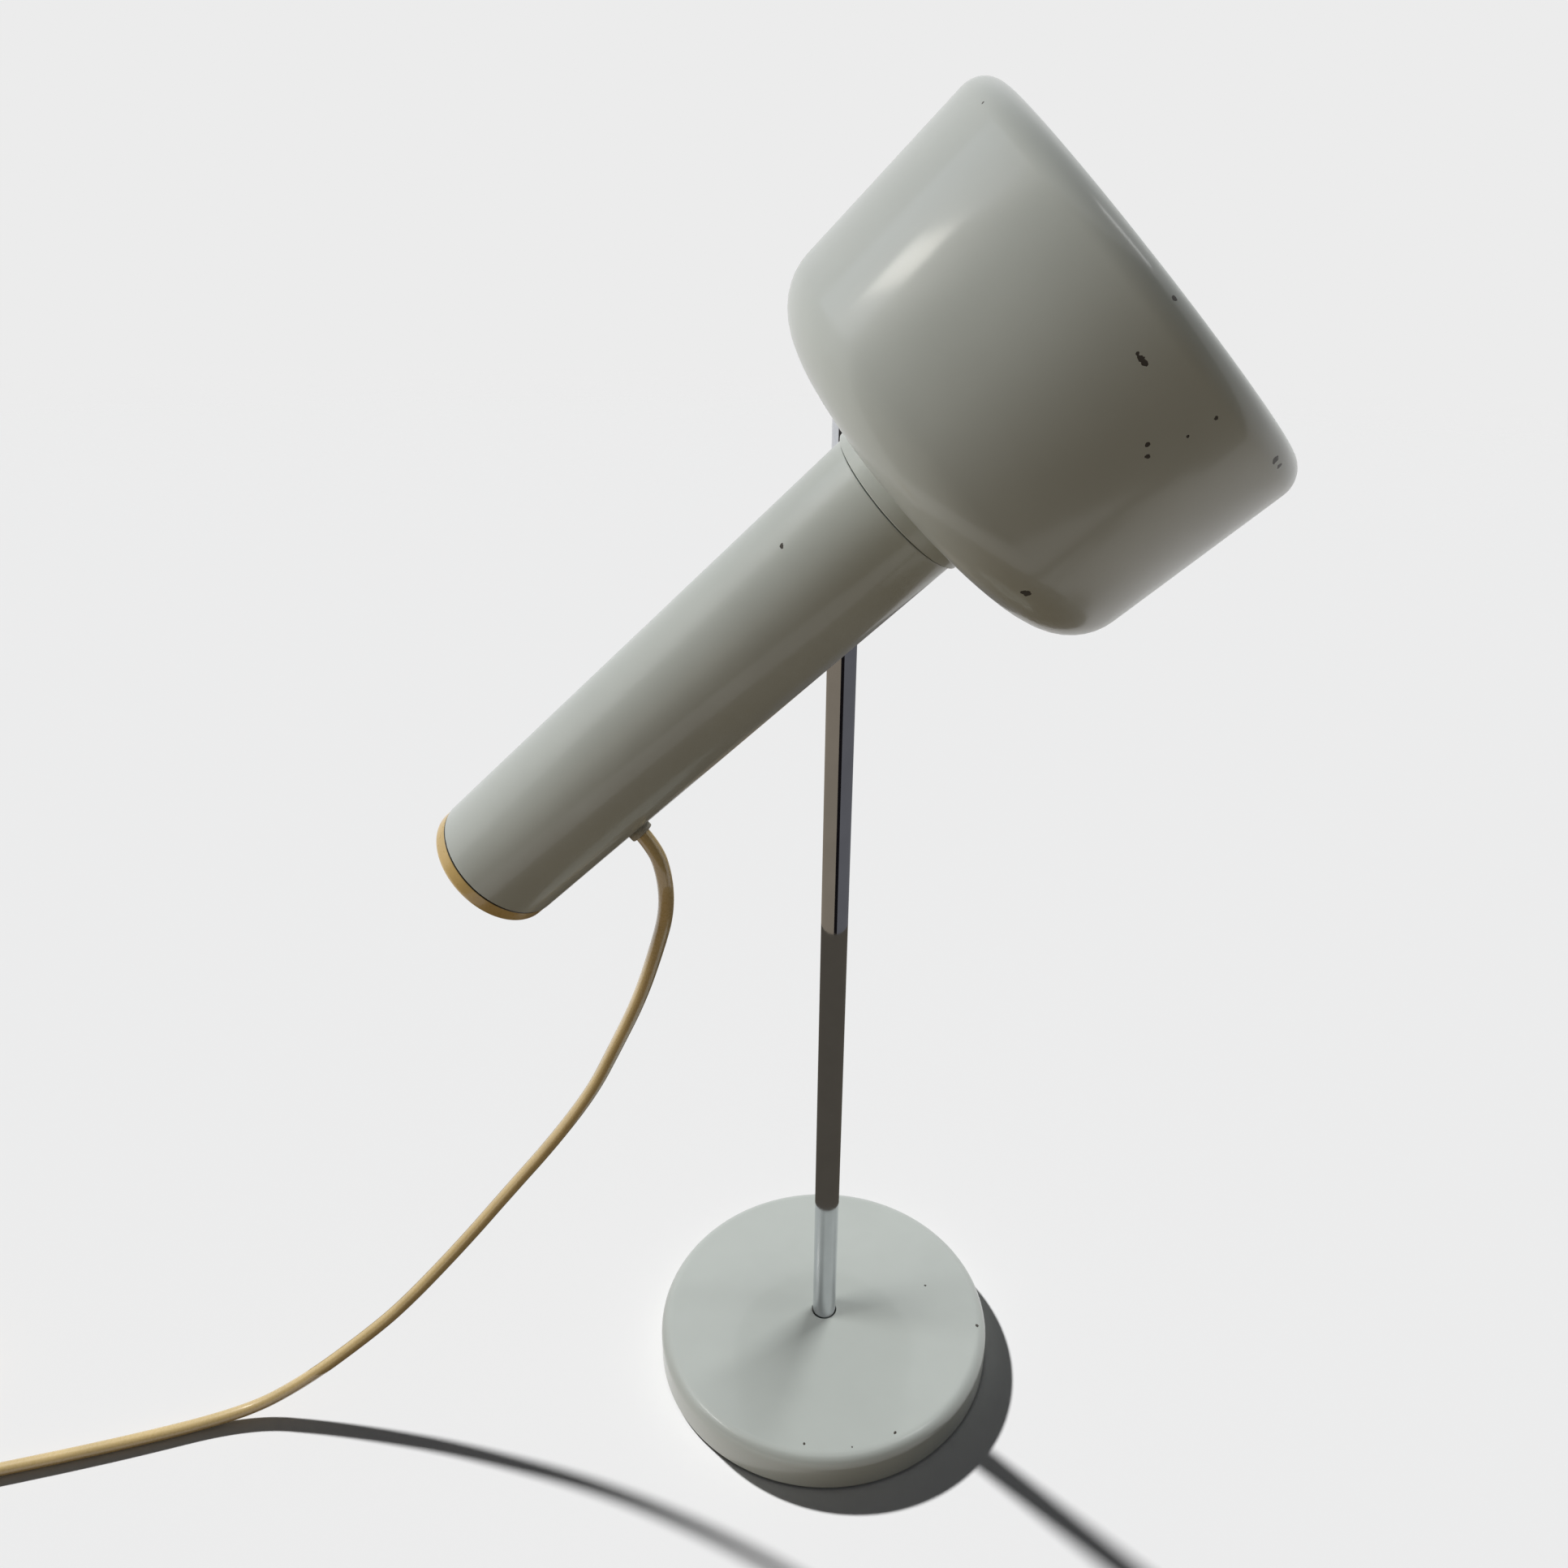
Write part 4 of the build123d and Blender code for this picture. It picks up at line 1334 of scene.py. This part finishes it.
    def tube(self, name: str, line: Sequence[Vector], nodes: Sequence[str]) -> bpy.types.Object:
        """Make a round tube that follows a line.

        Args:
            name: The piece's name.
            line: The points that it follows, in metres.
            nodes: The CAD nodes that it stands for.

        Returns:
            The piece, on no body yet.
        """
        curve = bpy.data.curves.new(name + "_path", "CURVE")
        curve.dimensions = "3D"
        curve.bevel_depth = self.cord_radius * MM
        curve.bevel_resolution = self.cord_roundness
        curve.use_fill_caps = True
        spline = curve.splines.new("POLY")
        spline.points.add(len(line) - 1)
        for point, place in zip(spline.points, line):
            point.co = (*place, 1.0)
        data = mesh_of(curve)
        data.name = name
        data.shade_smooth()
        return self.stood(name, data, CREAM_PVC, "cream_cord", nodes)


# ---------------------------------------------------------------- studio


@dataclass(frozen=True)
class Viewpoint:
    """A camera: its place in millimetres, the ways it faces, and its focal length and centre in pixels.

    Pixels are those of a square picture whose side is picture, and sensor is the camera's own width.
    """

    place: tuple[float, float, float] = (60.375, -360.924, 435.467)
    right: tuple[float, float, float] = (0.98195676, 0.18810051, 0.01947076)
    up: tuple[float, float, float] = (-0.09387323, 0.39547845, 0.91366548)
    focal: float = 1410.606
    centre: tuple[float, float] = (1014.101, 956.042)
    picture: float = 1932.0
    sensor: float = 36.0
    nearest: float = 0.01
    farthest: float = 30.0

    def build(self) -> None:
        """Make the camera and look through it."""
        data = bpy.data.cameras.new("camera")
        data.sensor_width = self.sensor
        data.lens = self.sensor * self.focal / self.picture
        data.shift_x = (self.picture / 2 - self.centre[0]) / self.picture
        data.shift_y = (self.centre[1] - self.picture / 2) / self.picture
        data.clip_start = self.nearest
        data.clip_end = self.farthest
        camera = put_in_scene("camera", data)
        right, up = Vector(self.right), Vector(self.up)
        turned = Matrix((right, up, right.cross(up))).transposed().to_4x4()
        turned.translation = Vector(self.place) * MM
        camera.matrix_world = turned
        bpy.context.scene.camera = camera


@dataclass(frozen=True)
class Panel:
    """An oblong light: the way it stands from the head, its size in metres, its power in watts, its colour.

    Gloss shows it as a bright patch only where in_gloss is set.
    """

    way: tuple[float, float, float]
    width: float
    height: float
    power: float
    colour: str = "FFFFFF"
    in_gloss: bool = False


class Light(Enum):
    """The studio's lights, named for what they stand for."""

    WINDOW = Panel((-0.89, -0.17, 0.40), 0.8, 0.8, 14.0)
    PALE_PANE = Panel((-0.73, -0.02, 0.68), 1.0, 0.55, 1.7, "E2ECFF", in_gloss=True)
    BRIGHT_PANE = Panel((-0.69, -0.25, 0.66), 0.7, 0.16, 3.4, "FFFAF0", in_gloss=True)
    SIDE_WINDOW = Panel((0.58, 0.07, 0.81), 0.25, 0.5, 1.6, in_gloss=True)
    SIDE_GLOW = Panel((0.85, -0.35, 0.10), 0.6, 0.3, 0.8)
    REAR_WINDOW = Panel((0.3, 0.7, 0.6), 0.8, 0.8, 19.5)
    LOW_GLOW = Panel((-0.5, -0.8, -0.25), 0.9, 0.5, 6.5, "F0DCC0")


@dataclass(frozen=True)
class Card:
    """A dark sheet round the stem that only gloss sees: a painted dark reflection in its plating and the
    enamel's gloss.

    Its outline's points are a distance from the stem and a height, in millimetres. It starts at the angle
    start and goes on round by sweep, in degrees.
    """

    name: str
    outline: tuple[tuple[float, float], ...]
    start: float
    sweep: float
    colour: str


@dataclass(frozen=True)
class Studio:
    """A plain pale floor that runs into an even background, windows, and soft light all round.

    The floor takes its shadow from the sun alone, and the object its light from the windows and the sky.
    Dark cards that only gloss sees paint dark reflections on the object. Lengths are in metres, but for the
    cards'.
    """

    background: str = "ECECEC"
    table: str = "6A5D4B"
    sky: str = "E2E5E9"
    sky_level: float = 0.08
    sun_direction: tuple[float, float, float] = (-0.647, 0.389, 0.656)
    sun_level: float = 4.49
    sun_size: float = math.radians(3)
    light_distance: float = 1.6
    floor_radius: float = 6.0
    floor_sides: int = 96
    fade_start: float = 1.2
    fade_end: float = 5.4
    # The cards are painted dark reflections: only gloss sees them, on the stem's plating and the enamel's
    # shaded sides.
    cards: tuple[Card, ...] = (
        Card("painted_reflection_tray", ((75, 18), (300, 18)), -180, 360, "4A443B"),
        Card("painted_reflection_low_sleeve", ((40, 39.5), (40, 190)), -180, 360, "544F47"),
        Card("painted_reflection_tan", ((40, 190), (40, 330)), -262, 178, "8C8274"),
        Card("painted_reflection_black", ((40, 190), (40, 330)), -84, 24, "151315"),
        Card("painted_reflection_grey", ((40, 190), (40, 330)), -60, 158, "66666A"),
        Card("painted_reflection_dim", ((480, 40), (520, 900)), -150, 130, "3C3A37"),
    )
    card_step: float = 5.0
    cards_face: tuple[float, float, float] = (0.0, 0.0, 0.3)

    def build(self) -> None:
        """Make the sky, the floor, the sun, the cards and the lights."""
        bpy.context.scene.view_settings.view_transform = "Standard"
        self.build_sky()
        floor = self.build_floor()
        self.build_sun(floor)
        for card in self.cards:
            self.build_card(card)
        for light in Light:
            self.build_light(light, floor)

    def link_light(self, holder: bpy.types.Object, floor: bpy.types.Object, state: str) -> None:
        """Let a light fall on the floor only, or on all but the floor.

        Args:
            holder: The light's object.
            floor: The floor.
            state: INCLUDE for the floor only, or EXCLUDE for all but it.
        """
        group = bpy.data.collections.new(holder.name + "_receivers")
        group.objects.link(floor)
        group.collection_objects[0].light_linking.link_state = state
        holder.light_linking.receiver_collection = group

    def build_sun(self, floor: bpy.types.Object) -> None:
        """Make the sun that throws the object's shadow on the floor.

        Args:
            floor: The floor.
        """
        data = bpy.data.lights.new("sun", "SUN")
        data.energy = self.sun_level
        data.angle = self.sun_size
        holder = put_in_scene("sun", data)
        holder.rotation_euler = Vector(self.sun_direction).to_track_quat("Z", "Y").to_euler()
        self.link_light(holder, floor, "INCLUDE")

    def build_light(self, light: Light, floor: bpy.types.Object) -> None:
        """Make an oblong light that faces the head.

        Args:
            light: The light.
            floor: The floor, which it leaves out.
        """
        panel = light.value
        name = light.name.lower()
        data = bpy.data.lights.new(name, "AREA")
        data.shape = "RECTANGLE"
        data.size = panel.width
        data.size_y = panel.height
        data.energy = panel.power
        data.color = linear(panel.colour)[:3]
        holder = put_in_scene(name, data)
        way = Vector(panel.way).normalized()
        holder.location = PIVOT * MM + way * self.light_distance
        holder.rotation_euler = way.to_track_quat("Z", "Y").to_euler()
        holder.visible_glossy = panel.in_gloss
        self.link_light(holder, floor, "EXCLUDE")

    def shown(self, tree: bpy.types.NodeTree) -> bpy.types.NodeSocket:
        """Tell the rays that see the background's colour from those that gather light.

        Args:
            tree: The nodes of the floor's material or the world.

        Returns:
            1 for a ray from the camera, off a glossy surface or through glass, and 0 for any other.
        """
        path = add_node(tree, "ShaderNodeLightPath").outputs
        seen = path["Is Camera Ray"]
        for kind in ("Is Glossy Ray", "Is Transmission Ray"):
            either = add_node(tree, "ShaderNodeMath", {0: seen, 1: path[kind]}, operation="MAXIMUM")
            seen = either.outputs["Value"]
        return seen

    def build_sky(self) -> None:
        """Light the scene evenly, and show the background's colour to the camera and to gloss."""
        world = bpy.data.worlds.new("studio")
        bpy.context.scene.world = world
        tree = emptied(world)
        light = add_node(
            tree, "ShaderNodeBackground", {"Color": linear(self.sky), "Strength": self.sky_level}
        )
        shown = add_node(tree, "ShaderNodeBackground", {"Color": linear(self.background), "Strength": 1.0})
        mix = add_node(
            tree, "ShaderNodeMixShader", {0: self.shown(tree), 1: light.outputs[0], 2: shown.outputs[0]}
        )
        add_node(tree, "ShaderNodeOutputWorld", {"Surface": mix.outputs[0]})

    def build_floor(self) -> bpy.types.Object:
        """Make the floor: a wide disc that fades into the background far out.

        Returns:
            The floor.
        """
        mesh = bmesh.new()
        bmesh.ops.create_circle(mesh, cap_ends=True, segments=self.floor_sides, radius=self.floor_radius)
        data = bpy.data.meshes.new("floor")
        mesh.to_mesh(data)
        mesh.free()
        floor = put_in_scene("floor", data)
        data.materials.append(self.floor_paper())
        return floor

    def floor_paper(self) -> bpy.types.Material:
        """Make the floor's matt paper, which shows the background's colour where it is looked at.

        Returns:
            The material.
        """
        material = bpy.data.materials.new("floor_paper")
        tree = emptied(material)
        tone = add_node(
            tree,
            "ShaderNodeMix",
            {
                MIX_SHARE: self.shown(tree),
                MIX_COLOUR_A: linear(self.table),
                MIX_COLOUR_B: linear(self.background),
            },
            data_type="RGBA",
        )
        paper = add_node(
            tree, "ShaderNodeBsdfDiffuse", {"Color": tone.outputs[MIXED_COLOUR], "Roughness": 0.0}
        )
        clear = add_node(tree, "ShaderNodeBsdfTransparent")
        place = add_node(tree, "ShaderNodeTexCoord").outputs["Object"]
        away = add_node(tree, "ShaderNodeVectorMath", {0: place}, operation="LENGTH")
        fade = add_node(
            tree,
            "ShaderNodeMapRange",
            {"Value": away.outputs["Value"], "From Min": self.fade_start, "From Max": self.fade_end},
            interpolation_type="SMOOTHSTEP",
        )
        mix = add_node(
            tree,
            "ShaderNodeMixShader",
            {0: fade.outputs["Result"], 1: paper.outputs[0], 2: clear.outputs[0]},
        )
        add_node(tree, "ShaderNodeOutputMaterial", {"Surface": mix.outputs[0]})
        return material

    def build_card(self, card: Card) -> None:
        """Put a card in place, a painted dark reflection. Only gloss sees it, and it casts no shadow.

        Args:
            card: The card.
        """
        data = bpy.data.meshes.new(card.name)
        mesh = self.card_sheet(card)
        mesh.to_mesh(data)
        mesh.free()
        sheet = put_in_scene(card.name, data)
        data.materials.append(self.card_paper(card))
        sheet.visible_camera = False
        sheet.visible_diffuse = False
        sheet.visible_shadow = False
        sheet.visible_transmission = False

    def card_sheet(self, card: Card) -> bmesh.types.BMesh:
        """Sweep a card's outline round the stem.

        Args:
            card: The card.

        Returns:
            The mesh, in place, with its faces towards the point cards_face.
        """
        mesh = bmesh.new()
        first = Matrix.Rotation(math.radians(card.start), 4, "Z")
        corners = [
            mesh.verts.new(first @ (Vector((radius, 0.0, height)) * MM)) for radius, height in card.outline
        ]
        edges = [mesh.edges.new(pair) for pair in zip(corners, corners[1:])]
        bmesh.ops.spin(
            mesh,
            geom=[*corners, *edges],
            cent=(0, 0, 0),
            axis=(0, 0, 1),
            angle=math.radians(card.sweep),
            steps=math.ceil(card.sweep / self.card_step),
        )
        mesh.normal_update()
        mesh.faces.ensure_lookup_table()
        face = mesh.faces[0]
        inwards = Vector(self.cards_face) - face.calc_center_median()
        if face.normal.dot(inwards) < 0:
            bmesh.ops.reverse_faces(mesh, faces=mesh.faces[:])
        return mesh

    def card_paper(self, card: Card) -> bpy.types.Material:
        """Make a card's painted dark reflection: a plain dark tone, which shows on its face and not on its
        back.

        Args:
            card: The card.

        Returns:
            The material.
        """
        material = bpy.data.materials.new(card.name)
        tree = emptied(material)
        dark = add_node(tree, "ShaderNodeEmission", {"Color": linear(card.colour), "Strength": 1.0})
        clear = add_node(tree, "ShaderNodeBsdfTransparent")
        behind = add_node(tree, "ShaderNodeNewGeometry").outputs["Backfacing"]
        mix = add_node(tree, "ShaderNodeMixShader", {0: behind, 1: dark.outputs[0], 2: clear.outputs[0]})
        add_node(tree, "ShaderNodeOutputMaterial", {"Surface": mix.outputs[0]})
        return material


# ---------------------------------------------------------------- everything in order


def main() -> None:
    """Build the lamp and its studio."""
    logging.basicConfig(level=logging.INFO, format="%(message)s")
    Viewpoint().build()
    Wiring().build()
    for assembly in (Foot(), Stem(), Knuckle(), Torch(), Lampholder(), RearCap()):
        assembly.build()
    Studio().build()


if __name__ == "__main__":
    main()
